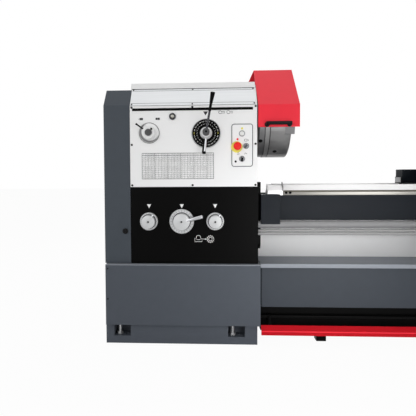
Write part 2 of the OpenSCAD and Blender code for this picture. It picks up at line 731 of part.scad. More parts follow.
// Ball handle with its dial, drawn out of the local XY plane.
module crank(shaft_r, shaft_back, reach) {
    translate([0, 0, -shaft_back]) cylinder(h = shaft_back + reach, r = shaft_r);
    cylinder(h = 22, r = 30);
    translate([-45, 0, reach - 8]) rotate([0, 90, 0]) cylinder(h = 95, r = 7);
    translate([-49, 0, reach - 20]) cylinder(h = 24, r = 13);
    translate([50, 0, reach - 12]) cylinder(h = 62, r = 10);
}

module cross_handle() placed() color(silver) facing(cross_x, -61, screw_z) rotate(30) crank(12, 36, 60);

top_slide_z = 981;
module top_slide() placed() color(iron) difference() {
    union() {
        span([cross_x - 150, -10, top_slide_z], [cross_x + 190, 130, 1062]);
        translate([cross_x, 60, 1061]) cylinder(h = 40, r = 25);
    }
    translate([cross_x + 150, 60, 1020]) rotate([0, 90, 0]) cylinder(h = 50, r = 12.06);
}

module top_handle() placed() color(silver)
    translate([cross_x + 191, 60, 1020]) rotate([90, 0, 90]) crank(12, 36, 60);

// Square four-way tool post with its clamping lever.
module tool_post() placed() color(steel) difference() {
    union() {
        translate([cross_x, 60, 1062.3]) difference() {
            translate([-80, -80, 0]) cube([160, 160, 110]);
            for (a = [0:90:270]) rotate(a) translate([48, -81, 34]) cube([33, 162, 40]);
        }
        translate([cross_x, 60, 1172]) cylinder(h = 26, r = 34);
        translate([cross_x, 60, 1186]) rotate([0, 78, 215]) cylinder(h = 150, r = 9);
    }
    translate([cross_x, 60, 1062 - e]) cylinder(h = 42, r = 25.06);
}

tail_len = 350;
quill_left = 1740;

// Tailstock: a base on the ways, a column and the barrel round the quill.
module tailstock() placed() color(dark_paint) difference() {
    union() {
        span([tail_left, 150 + e, way_z + 1], [tail_left + tail_len, 389, 860]);
        span([tail_left, 62, prism_z + 0.5], [tail_left + tail_len, 480, 860]);
        along_x(tail_left + 20) linear_extrude(tail_len - 40)
            polygon([[110, 859], [370, 859], [320, axis_z], [160, axis_z]]);
        bar_x(tail_left - 20, axis_y, axis_z, tail_len + 20, 85);
        translate([tail_left + 90, axis_y, axis_z + 70]) cylinder(h = 50, r = 14);
        translate([tail_left + 90, axis_y, axis_z + 112]) rotate([72, 0, 25]) cylinder(h = 120, r = 7);
    }
    bar_x(tail_left - 20 - e, axis_y, axis_z, tail_len + 20 - 30, quill_r + 0.06);
    bar_x(tail_left + tail_len - 40, axis_y, axis_z, 50, 16.06);
}

// Quill with its centre.
module quill() placed() color(steel) along_x(0, axis_y, axis_z) rotate_extrude()
    polygon([[0, quill_left - 70], [2, quill_left - 70], [26, quill_left - 25], [26, quill_left], [quill_r - 3, quill_left],
             [quill_r, quill_left + 3], [quill_r, tail_left + tail_len - 60], [0, tail_left + tail_len - 60]]);

module tail_handwheel() placed() color(silver)
    translate([tail_left + tail_len + 1, axis_y, axis_z]) rotate([90, 0, 90]) {
        hand_wheel(110, 11, 16, 40, 90);
        rotate(60) translate([99, 0, 80]) cylinder(h = wheel_reach - tail_left - tail_len - 81, r = 13);
    }

bed();
gap_bridge();
left_pedestal();
right_pedestal();
chip_tray();
chip_wall();
front_skirt();
coolant_tank();
headstock_housing();
headstock_cover();
front_plate();
sloping_strip();
feed_box();
motor();
drive_belts();
switch_panel();
dial_plate();
spindle_bearings();
coupling_cover();
levelling_feet();
screws();
electrical_cabinet();
spindle();
chuck_backplate();
chuck_body();
chuck_jaw_1();
chuck_jaw_2();
chuck_jaw_3();
stud_gear();
feed_gear();
input_pulley();
chuck_guard();
guard_handle();
end_cover();
cover_latch();
speed_lever();
range_lever();
reverse_lever();
feed_knob_left();
feed_knob_middle();
feed_knob_right();
start_button();
stop_button();
side_selector();
lower_selector();
lead_screw();
feed_rod();
control_rod();
brake_pedal();
saddle();
apron();
apron_handwheel();
cross_slide();
cross_handle();
top_slide();
top_handle();
tool_post();
tailstock();
quill();
tail_handwheel();
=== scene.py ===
"""Looks of the manual lathe: finishes, rounded edges and the details of its controls."""
import json
import logging
import math
from dataclasses import dataclass
from enum import Enum

import bmesh
import bpy
from mathutils import Matrix, Vector


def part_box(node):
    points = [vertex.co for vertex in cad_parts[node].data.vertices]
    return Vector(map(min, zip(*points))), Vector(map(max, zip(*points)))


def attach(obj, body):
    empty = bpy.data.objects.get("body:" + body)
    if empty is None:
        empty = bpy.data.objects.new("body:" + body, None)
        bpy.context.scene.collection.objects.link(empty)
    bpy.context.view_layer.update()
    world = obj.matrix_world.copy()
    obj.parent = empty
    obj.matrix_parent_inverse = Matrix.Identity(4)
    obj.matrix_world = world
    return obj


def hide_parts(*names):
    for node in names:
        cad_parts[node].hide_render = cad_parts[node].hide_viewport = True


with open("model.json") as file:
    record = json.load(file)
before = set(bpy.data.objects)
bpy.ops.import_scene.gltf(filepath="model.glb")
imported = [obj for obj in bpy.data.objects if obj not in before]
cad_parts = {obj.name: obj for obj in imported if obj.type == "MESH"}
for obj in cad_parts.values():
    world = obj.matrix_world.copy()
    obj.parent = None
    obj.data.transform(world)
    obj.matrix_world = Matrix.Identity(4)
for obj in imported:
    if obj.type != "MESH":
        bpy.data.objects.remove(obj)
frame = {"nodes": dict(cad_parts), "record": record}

logging.basicConfig(level=logging.INFO, format="%(message)s")
log = logging.getLogger("lathe")

MM = 0.001
PRINT_T = 0.3  # thickness of printed ink and decals
SPINDLE_Y, SPINDLE_Z = 240.0, 1148.0  # the spindle's axis, behind the front plate and above the floor
SHARP_DEG = 32.0  # edges turned further than this stay crisp, and are the ones that are rounded
SAME_HEIGHT = 1e-6  # two ends of an edge nearer than this are level
MERGE_MM = 0.0005  # points nearer than this become one
COAT_ROUGHNESS = 0.08
GLOSS_SPREAD = 0.15  # how far roughness wanders either way, as a share of itself
BUMP_STRENGTH = 0.6
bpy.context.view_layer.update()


# ---------------------------------------------------------------- places

@dataclass(frozen=True)
class Datum:
    """Turns millimetres in the headstock's own frame into the row frame.

    X is 0 at the speed dial, Y is 0 at the front plate and Z is 0 on the floor.
    """

    origin: Vector

    @classmethod
    def from_frame(cls) -> "Datum":
        """Finds the datum from the dial's and the front plate's boxes."""
        low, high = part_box("dial_plate")
        return cls(Vector(((low.x + high.x) / 2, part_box("front_plate")[0].y, 0.0)))

    def at(self, x: float, y: float, z: float) -> Vector:
        """Gives the row-frame point, in metres, of a point in millimetres."""
        return self.origin + Vector((x, y, z)) * MM

    def box(self, node: str) -> tuple[Vector, Vector]:
        """Gives a CAD node's lowest and highest corners, in millimetres from the datum."""
        low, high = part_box(node)
        return (low - self.origin) / MM, (high - self.origin) / MM


DATUM = Datum.from_frame()


class Facing(Enum):
    """Which way a shape's own +Z points when it is put in place."""

    UP = (0.0, 0.0, 0.0)
    FRONT = (math.pi / 2, 0.0, 0.0)
    RIGHT = (math.pi / 2, 0.0, math.pi / 2)
    BACK = (math.pi / 2, 0.0, math.pi)

    def matrix(self) -> Matrix:
        """Gives the rotation that turns +Z this way."""
        x, y, z = self.value
        return Matrix.Rotation(z, 4, "Z") @ Matrix.Rotation(y, 4, "Y") @ Matrix.Rotation(x, 4, "X")


# ---------------------------------------------------------------- finishes

def srgb(code: str) -> tuple[float, float, float, float]:
    """Turns an sRGB hex colour into linear values.

    Args:
        code: Six hex digits.

    Returns:
        Linear red, green, blue and an alpha of 1.
    """
    parts = [int(code[i:i + 2], 16) / 255 for i in (0, 2, 4)]
    linear = [c / 12.92 if c <= 0.04045 else ((c + 0.055) / 1.055) ** 2.4 for c in parts]
    return (*linear, 1.0)


def add_node(tree: bpy.types.NodeTree, kind: str, links: dict | None = None, **settings) -> bpy.types.Node:
    """Adds a shader node, sets its sockets and properties, and links its inputs.

    Args:
        tree: The node tree that takes the node.
        kind: The node's type name.
        links: Input name to the output socket that feeds it.
        **settings: Property names, or input names with spaces as underscores.

    Returns:
        The new node.
    """
    node = tree.nodes.new(kind)
    for key, value in settings.items():
        if hasattr(node, key):
            setattr(node, key, value)
        else:
            node.inputs[key.replace("_", " ")].default_value = value
    for name, socket in (links or {}).items():
        tree.links.new(socket, node.inputs[name])
    return node


class Texture(Enum):
    """How a finish's surface is broken up."""

    PEEL = "peel"          # sprayed enamel: soft, rounded waviness
    CAST = "cast"          # sand-cast or painted casting: lumpy
    GROUND_X = "ground_x"  # ground or brushed along X
    GROUND_Z = "ground_z"  # ground or brushed along Z
    TURNED = "turned"      # fine rings round the spindle's axis
    MOULDED = "moulded"    # even, fine-grained plastic or rubber
    THREAD = "thread"      # screw thread along X, one ridge each grain


@dataclass(frozen=True)
class Finish:
    """A real material and how its surface was made."""

    name: str
    colour: str
    roughness: float
    texture: Texture
    grain_mm: float
    depth_mm: float
    metallic: float = 0.0
    shade: float = 0.06
    coat: float = 0.0
    specular: float = 0.25
    slot: str = ""

    def material(self) -> bpy.types.Material:
        """Builds the material, or finds it if it is already built.

        Returns:
            The material.
        """
        known = bpy.data.materials.get(self.name)
        if known:
            return known
        made = bpy.data.materials.new(self.name)
        made.use_nodes = True
        tree = made.node_tree
        shader = tree.nodes["Principled BSDF"]
        shader.inputs["Metallic"].default_value = self.metallic
        shader.inputs["Specular IOR Level"].default_value = self.specular
        shader.inputs["Coat Weight"].default_value = self.coat
        shader.inputs["Coat Roughness"].default_value = COAT_ROUGHNESS
        height = self._height(tree)
        base = srgb(self.colour)
        dark = tuple(c * (1 - self.shade) for c in base[:3]) + (1.0,)
        light = tuple(min(1.0, c * (1 + self.shade)) for c in base[:3]) + (1.0,)
        cloud = self._cloud(tree)
        tint = add_node(tree, "ShaderNodeMix", {"Factor": cloud}, data_type="RGBA")
        tint.inputs[6].default_value = dark
        tint.inputs[7].default_value = light
        tree.links.new(tint.outputs[2], shader.inputs["Base Color"])
        rough = add_node(tree, "ShaderNodeMapRange", {"Value": cloud},
                         To_Min=self.roughness * (1 - GLOSS_SPREAD),
                         To_Max=min(1.0, self.roughness * (1 + GLOSS_SPREAD)))
        tree.links.new(rough.outputs["Result"], shader.inputs["Roughness"])
        bump = add_node(tree, "ShaderNodeBump", {"Height": height}, Strength=BUMP_STRENGTH,
                        Distance=self.depth_mm * MM)
        tree.links.new(bump.outputs["Normal"], shader.inputs["Normal"])
        return made

    def _coordinates(self, tree: bpy.types.NodeTree,
                     scale: tuple[float, float, float]) -> bpy.types.NodeSocket:
        """Gives Object coordinates scaled for the grain.

        Args:
            tree: The material's node tree.
            scale: Grains in a metre along each axis.

        Returns:
            The scaled coordinates.
        """
        place = add_node(tree, "ShaderNodeTexCoord")
        turn = add_node(tree, "ShaderNodeMapping", {"Vector": place.outputs["Object"]})
        turn.inputs["Scale"].default_value = scale
        return turn.outputs["Vector"]

    def _height(self, tree: bpy.types.NodeTree) -> bpy.types.NodeSocket:
        """Gives the bump's height for this texture.

        Args:
            tree: The material's node tree.

        Returns:
            The height, from 0 to 1.
        """
        fine = 1.0 / (self.grain_mm * MM)
        along = fine / 60.0
        if self.texture is Texture.TURNED:
            place = add_node(tree, "ShaderNodeTexCoord")
            turn = add_node(tree, "ShaderNodeMapping", {"Vector": place.outputs["Object"]})
            axis = spindle_axis()
            turn.inputs["Location"].default_value = (0.0, -axis.y, -axis.z)
            wave = add_node(tree, "ShaderNodeTexWave", {"Vector": turn.outputs["Vector"]}, wave_type="RINGS",
                            rings_direction="X", Scale=fine / 3.0, Distortion=0.4, Detail=1.0)
            return wave.outputs["Fac"]
        if self.texture is Texture.THREAD:
            ridges = math.tau / 20 * fine
            wave = add_node(tree, "ShaderNodeTexWave", {"Vector": self._coordinates(tree, (1.0, 0.0, 0.0))},
                            wave_type="BANDS", bands_direction="X", Scale=ridges, Distortion=0.0)
            return wave.outputs["Fac"]
        scales = {
            Texture.GROUND_X: (along, fine, fine),
            Texture.GROUND_Z: (fine, fine, along),
        }
        scale = scales.get(self.texture, (fine, fine, fine))
        detail = {Texture.CAST: 4.0, Texture.PEEL: 1.0}.get(self.texture, 2.0)
        noise = add_node(tree, "ShaderNodeTexNoise", {"Vector": self._coordinates(tree, scale)},
                         Scale=1.0, Detail=detail, Roughness=0.55)
        return noise.outputs["Fac"]

    def _cloud(self, tree: bpy.types.NodeTree) -> bpy.types.NodeSocket:
        """Gives a slow variation, a hand's breadth across, that breaks up colour and gloss.

        Args:
            tree: The material's node tree.

        Returns:
            The variation, from 0 to 1.
        """
        wide = 1.0 / (max(self.grain_mm * 6.0, 40.0) * MM)
        stretch = {
            Texture.GROUND_X: (wide * 0.15, wide * 3.0, wide * 3.0),
            Texture.GROUND_Z: (wide * 3.0, wide * 3.0, wide * 0.15),
        }.get(self.texture, (wide, wide, wide))
        noise = add_node(tree, "ShaderNodeTexNoise", {"Vector": self._coordinates(tree, stretch)},
                         Scale=1.0, Detail=3.0, Roughness=0.5)
        return noise.outputs["Fac"]


def spindle_axis() -> Vector:
    """Gives a point on the spindle's axis."""
    low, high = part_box("chuck_backplate")
    return (low + high) / 2


class Finishes:
    """Every finish on the lathe, by its maker's name."""

    # Sprayed machine enamels: an even colour, soft highlights and a faint orange peel.
    BED = Finish("blue_grey_enamel_bed", "191D23", 0.46, Texture.PEEL, 2.4, 0.08, specular=0.1,
                 slot="bed_paint")
    CABINET = Finish("grey_enamel_cabinet", "52575F", 0.44, Texture.PEEL, 2.2, 0.08, specular=0.14,
                     slot="cabinet_paint")
    COVER = Finish("dark_grey_enamel_cover", "484E55", 0.44, Texture.PEEL, 2.2, 0.08, specular=0.14,
                   slot="cover_paint")
    SKIRT = Finish("grey_enamel_skirt", "3F444B", 0.44, Texture.PEEL, 2.2, 0.08, specular=0.14,
                   slot="cabinet_paint")
    TRAY = Finish("light_blue_grey_enamel_tray", "8F949C", 0.46, Texture.PEEL, 2.5, 0.10, slot="tray_paint")
    PALE = Finish("pale_grey_enamel", "F8F8F8", 0.42, Texture.PEEL, 2.4, 0.05, shade=0.015, slot="pale_paint")
    LID = Finish("satin_grey_enamel_lid", "F8F8F8", 0.44, Texture.PEEL, 2.4, 0.05, shade=0.015,
                 slot="pale_paint")
    WHITE = Finish("white_enamel_plate", "FAFAFA", 0.38, Texture.PEEL, 2.0, 0.03, shade=0.008,
                   slot="white_enamel")
    BLACK = Finish("gloss_black_enamel", "060606", 0.36, Texture.PEEL, 2.6, 0.03, specular=0.04,
                   slot="black_enamel")
    RED = Finish("red_enamel_sheet", "FA3847", 0.34, Texture.PEEL, 2.2, 0.05, shade=0.03, coat=0.12,
                 specular=0.06,
                 slot="red_enamel")
    # FOOT_RED: the guard's red enamel made darker, as painted shade under the cabinet and tray.
    FOOT_RED = Finish("red_enamel_foot_bar", "C61220", 0.40, Texture.PEEL, 2.2, 0.05, specular=0.1,
                      slot="red_enamel")
    # Machined metals: the streaks or rings that the tool left.
    STRIP = Finish("brushed_aluminium_sheet", "E8EAEC", 0.45, Texture.GROUND_X, 0.8, 0.02, metallic=0.25,
                   slot="silver_sheet")
    # GROUND and WAY_TOP are one ground steel: GROUND is darker, painted shade on the ways' side faces;
    # WAY_TOP is near white, a painted highlight and reflection on their upward faces and on the gap bridge.
    GROUND = Finish("ground_steel_ways", "83817C", 0.32, Texture.GROUND_X, 0.9, 0.02, metallic=0.8,
                    slot="ground_steel")
    WAY_TOP = Finish("ground_steel_painted_highlight", "FAFAFA", 0.34, Texture.GROUND_X, 0.9, 0.02, metallic=0.35,
                     slot="ground_steel")
    # OILED: a dark strip along the ways' upper edge, painted shade under the way tops.
    OILED = Finish("painted_edge_shade", "625F55", 0.50, Texture.GROUND_X, 1.2, 0.03, specular=0.1,
                   slot="ground_steel")
    THREAD = Finish("rolled_steel_screw", "8E8E8F", 0.60, Texture.THREAD, 6.0, 0.50, metallic=0.2,
                    specular=0.1,
                    slot="ground_steel")
    BAR = Finish("cold_drawn_bar", "9C9C9C", 0.55, Texture.GROUND_X, 1.0, 0.02, metallic=0.2, specular=0.1,
                 slot="ground_steel")
    STEEL = Finish("bright_turned_steel", "AEAFB0", 0.36, Texture.GROUND_Z, 2.5, 0.01, metallic=0.6,
                   slot="ground_steel")
    CHUCK = Finish("turned_cast_iron_chuck", "838383", 0.38, Texture.TURNED, 1.2, 0.03, metallic=0.75,
                   slot="chuck_iron")
    IRON = Finish("dark_cast_iron", "505051", 0.55, Texture.CAST, 3.0, 0.25, metallic=0.4, slot="dark_iron")
    SLIDE = Finish("scraped_cast_iron_slide", "828282", 0.40, Texture.GROUND_X, 1.5, 0.04, metallic=0.6,
                   slot="chuck_iron")
    SATIN = Finish("satin_turned_aluminium", "C6C7C8", 0.46, Texture.MOULDED, 1.2, 0.02, metallic=0.35,
                   slot="chrome")
    BRIGHT = Finish("bright_satin_chrome", "DCDCDD", 0.36, Texture.MOULDED, 1.2, 0.02, metallic=0.35,
                    slot="chrome")
    SATIN_DARK = Finish("satin_cast_aluminium", "959698", 0.40, Texture.MOULDED, 1.6, 0.04, metallic=0.6,
                        slot="chrome")
    RING = Finish("graduated_steel_ring", "505154", 0.42, Texture.MOULDED, 1.2, 0.02, metallic=0.4,
                  slot="chrome")
    GREY_IRON = Finish("oiled_grey_steel", "6E6E6F", 0.35, Texture.MOULDED, 1.4, 0.03, metallic=0.7,
                       slot="dark_iron")
    DARK_CHROME = Finish("blued_steel_rod", "3C3D40", 0.26, Texture.MOULDED, 2.0, 0.01, metallic=0.9,
                         slot="chrome")
    CHROME = Finish("polished_chrome", "B6B7BA", 0.18, Texture.MOULDED, 3.0, 0.01, metallic=1.0,
                    slot="chrome")
    # Moulded plastics and rubber: even colour with a fine grain.
    BLACK_PLASTIC = Finish("black_phenolic", "121213", 0.38, Texture.MOULDED, 0.8, 0.03, specular=0.12,
                           slot="black_plastic")
    GREY_PLASTIC = Finish("grey_polyamide", "A2A3A6", 0.42, Texture.MOULDED, 0.8, 0.03, slot="grey_plastic")
    WHITE_PLASTIC = Finish("white_polyamide", "F2F2F0", 0.35, Texture.MOULDED, 0.8, 0.02, shade=0.01,
                           slot="white_plastic")
    RED_PLASTIC = Finish("red_polyamide", "F5241F", 0.30, Texture.MOULDED, 0.8, 0.02, slot="red_plastic")
    YELLOW_PLASTIC = Finish("yellow_polyamide", "F4EC6C", 0.38, Texture.MOULDED, 0.8, 0.02,
                            slot="white_plastic")
    # Screen-printed inks, the sight glass's reflector and the oil behind it.
    WHITE_INK = Finish("white_ink", "F4F4F4", 0.55, Texture.MOULDED, 0.6, 0.01, shade=0.01,
                       slot="white_plastic")
    DARK_INK = Finish("dark_ink", "2C2C2E", 0.55, Texture.MOULDED, 0.6, 0.01, slot="black_plastic")
    GREY_INK = Finish("grey_ink", "5A5C5F", 0.55, Texture.MOULDED, 0.6, 0.01, slot="grey_plastic")
    GLASS = Finish("sight_glass", "BDBCB2", 0.08, Texture.MOULDED, 4.0, 0.01, coat=1.0, slot="white_plastic")
    OIL = Finish("amber_oil", "5A4A30", 0.10, Texture.MOULDED, 4.0, 0.01, coat=0.6, slot="grey_plastic")
    RUBBER = Finish("black_belt_rubber", "141414", 0.75, Texture.MOULDED, 1.0, 0.06, slot="belt_rubber")


# ---------------------------------------------------------------- shapes

class Shape:
    """A mesh in the making, in millimetres about its own origin."""

    def __init__(self) -> None:
        """Starts an empty mesh."""
        self.bm = bmesh.new()

    def box(self, low: tuple, high: tuple, edge: float = 0.0, steps: int = 2) -> "Shape":
        """Adds a box between two corners, its edges rounded.

        Args:
            low: Lowest corner.
            high: Highest corner.
            edge: Radius of the rounded edges.
            steps: Segments in each rounded edge.

        Returns:
            The shape itself.
        """
        a, b = Vector(low), Vector(high)
        made = bmesh.ops.create_cube(self.bm, size=1.0)["verts"]
        size = b - a
        bmesh.ops.scale(self.bm, vec=size, verts=made)
        bmesh.ops.translate(self.bm, vec=(a + b) / 2, verts=made)
        if edge > 0:
            edges = list({e for v in made for e in v.link_edges})
            bmesh.ops.bevel(self.bm, geom=edges, offset=edge, offset_type="OFFSET", affect="EDGES",
                            segments=steps, profile=0.5, material=-1)
        return self

    def turned(self, profile: list[tuple[float, float]], steps: int = 64) -> "Shape":
        """Spins a profile of (radius, height) points round +Z.

        Args:
            profile: The outline, from its start on the axis or inner edge to its end.
            steps: Segments round the turn.

        Returns:
            The shape itself.
        """
        verts = [self.bm.verts.new((r, 0.0, z)) for r, z in profile]
        edges = [self.bm.edges.new(pair) for pair in zip(verts, verts[1:])]
        bmesh.ops.spin(self.bm, geom=verts + edges, cent=(0, 0, 0), axis=(0, 0, 1), dvec=(0, 0, 0),
                       angle=math.tau, steps=steps, use_merge=True, use_duplicate=False)
        return self

    def slab(self, outline: list[tuple[float, float]], low: float, high: float, edge: float = 0.0,
             steps: int = 2) -> "Shape":
        """Adds an extruded outline from height low to high, its two rims rounded.

        Args:
            outline: Corner points in the XY plane.
            low: Height of the lower face.
            high: Height of the upper face.
            edge: Radius of the rims.
            steps: Segments in each rim.

        Returns:
            The shape itself.
        """
        verts = [self.bm.verts.new((x, y, low)) for x, y in outline]
        face = self.bm.faces.new(verts)
        grown = bmesh.ops.extrude_face_region(self.bm, geom=[face])["geom"]
        top = [g for g in grown if isinstance(g, bmesh.types.BMVert)]
        bmesh.ops.translate(self.bm, vec=(0, 0, high - low), verts=top)
        if edge > 0:
            rim = [e for e in {e for v in verts + top for e in v.link_edges}
                   if abs(e.verts[0].co.z - e.verts[1].co.z) < SAME_HEIGHT]
            bmesh.ops.bevel(self.bm, geom=rim, offset=edge, offset_type="OFFSET", affect="EDGES",
                            segments=steps, profile=0.5, material=-1)
        return self

    def ribbon(self, points: list, width: float, low: float, high: float, closed: bool = False) -> "Shape":
        """Adds a flat strip along a line of points in the XY plane.

        Args:
            points: The line's points.
            width: Width of the strip.
            low: Height of its lower face.
            high: Height of its upper face.
            closed: Whether the line closes on itself.

        Returns:
            The shape itself.
        """
        line = [Vector((p[0], p[1])) for p in points]
        corners = []
        for i, point in enumerate(line):
            before = line[i - 1] if closed or i else point
            after = line[(i + 1) % len(line)] if closed or i + 1 < len(line) else point
            ahead = (after - before).normalized()
            side = Vector((-ahead.y, ahead.x)) * width / 2
            corners.append([self.bm.verts.new((p.x, p.y, z)) for p in (point + side, point - side)
                            for z in (low, high)])
        for a, b in zip(corners, corners[1:] + (corners[:1] if closed else [])):
            for i, j in ((1, 3), (3, 2), (2, 0), (0, 1)):
                self.bm.faces.new((a[i], b[i], b[j], a[j]))
        if not closed:
            for end in (corners[0], corners[-1]):
                self.bm.faces.new((end[0], end[1], end[3], end[2]))
        return self

    def rod(self, start: tuple, end: tuple, r0: float, r1: float | None = None, steps: int = 32,
            cap: float = 0.0) -> "Shape":
        """Adds a round or tapered rod between two points, its end rims rounded.

        Args:
            start: Centre of the first end.
            end: Centre of the second end.
            r0: Radius at the first end.
            r1: Radius at the second end, the first's if left out.
            steps: Segments round it.
            cap: Radius of the end rims.

        Returns:
            The shape itself.
        """
        a, b = Vector(start), Vector(end)
        r1 = r0 if r1 is None else r1
        made = bmesh.ops.create_cone(self.bm, cap_ends=True, cap_tris=False, segments=steps, radius1=r0,
                                     radius2=r1, depth=(b - a).length)["verts"]
        if cap > 0:
            rims = [e for e in {e for v in made for e in v.link_edges}
                    if abs(e.verts[0].co.z - e.verts[1].co.z) < SAME_HEIGHT]
            made = list({v for f in bmesh.ops.bevel(
                self.bm, geom=rims, offset=cap, offset_type="OFFSET", affect="EDGES", segments=3,
                profile=0.5, material=-1)["faces"] for v in f.verts} | {v for v in made if v.is_valid})
        turn = (b - a).to_track_quat("Z", "Y").to_matrix().to_4x4()
        bmesh.ops.transform(self.bm, matrix=Matrix.Translation((a + b) / 2) @ turn, verts=made)
        return self

    def join(self, other: "Shape", matrix: Matrix | None = None) -> "Shape":
        """Adds a copy of another shape, put in place by a matrix.

        Args:
            other: The shape to copy.
            matrix: Its place, where it is if left out.

        Returns:
            The shape itself.
        """
        mesh = bpy.data.meshes.new("part")
        other.bm.to_mesh(mesh)
        mesh.transform(matrix or Matrix.Identity(4))
        self.bm.from_mesh(mesh)
        bpy.data.meshes.remove(mesh)
        return self

    def piece(self, name: str, finish: Finish, body: str, at: tuple = (0.0, 0.0, 0.0),
              facing: Facing = Facing.UP,
              turn: float = 0.0, replaces: tuple[str, ...] = ()) -> bpy.types.Object:
        """Puts the shape in place as one piece of the lathe.

        Args:
            name: The piece's name.
            finish: Its finish.
            body: The body it rides on.
            at: Its place in the headstock's frame, in millimetres.
            facing: Which way its +Z points.
            turn: Degrees that it is turned about its own +Z first.
            replaces: CAD nodes that it stands for.

        Returns:
            The new object.
        """
        mesh = bpy.data.meshes.new(name)
        bmesh.ops.remove_doubles(self.bm, verts=self.bm.verts, dist=MERGE_MM)
        bmesh.ops.recalc_face_normals(self.bm, faces=self.bm.faces)
        place = Matrix.Translation(DATUM.at(*at)) @ facing.matrix() @ Matrix.Rotation(math.radians(turn), 4,
                                                                                      "Z")
        bmesh.ops.transform(self.bm, matrix=place @ Matrix.Scale(MM, 4), verts=self.bm.verts)
        self.bm.to_mesh(mesh)
        self.bm.free()
        return settle(bpy.data.objects.new(name, mesh), finish, body, replaces)


def settle(piece: bpy.types.Object, finish: Finish, body: str,
           replaces: tuple[str, ...] = ()) -> bpy.types.Object:
    """Links a new object, shades and finishes it, and has it ride on its body.

    Args:
        piece: The new object, its place in its mesh.
        finish: Its finish.
        body: The body it rides on.
        replaces: CAD nodes that it stands for.

    Returns:
        The same object.
    """
    bpy.context.scene.collection.objects.link(piece)
    piece.data.materials.clear()
    piece.data.materials.append(finish.material())
    piece.data.shade_smooth()
    piece.data.set_sharp_from_angle(angle=math.radians(SHARP_DEG))
    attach(piece, body)
    if replaces:
        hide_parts(*replaces)
    log.info("piece %s on %s: %d faces", piece.name, body, len(piece.data.polygons))
    return piece


def body_of(node: str) -> str:
    """Gives the body that a CAD node rides on."""
    bodies = frame["record"]["behaviour"]["bodies"]
    return next(body for body, members in bodies.items() if node in members)


def rounded_copy(node: str, finish: Finish, edge: float, steps: int = 2) -> bpy.types.Object:
    """Stands a copy of a CAD node in its place, with its sharp edges rounded.

    Args:
        node: The CAD node.
        finish: The copy's finish.
        edge: Radius of the rounded edges, in millimetres.
        steps: Segments in each rounded edge.

    Returns:
        The new object.
    """
    source = frame["nodes"][node]
    bm = bmesh.new()
    bm.from_mesh(source.data)
    bmesh.ops.remove_doubles(bm, verts=bm.verts, dist=1e-6)
    bmesh.ops.dissolve_limit(bm, angle_limit=math.radians(1.0), verts=bm.verts, edges=bm.edges)
    mesh = bpy.data.meshes.new(node + "_skin")
    bm.to_mesh(mesh)
    bm.free()
    piece = settle(bpy.data.objects.new(node + "_skin", mesh), finish, body_of(node), (node,))
    bevel = piece.modifiers.new("edges", "BEVEL")
    bevel.width = edge * MM
    bevel.segments = steps
    bevel.limit_method = "ANGLE"
    bevel.angle_limit = math.radians(SHARP_DEG)
    bevel.harden_normals = True
    return piece


def paint_node(node: str, finish: Finish) -> None:
    """Gives a CAD node its finish, its shape left as it is.

    Args:
        node: The CAD node.
        finish: Its finish.
    """
    data = frame["nodes"][node].data
    data.materials.clear()
    data.materials.append(finish.material())


# ---------------------------------------------------------------- sub-assemblies

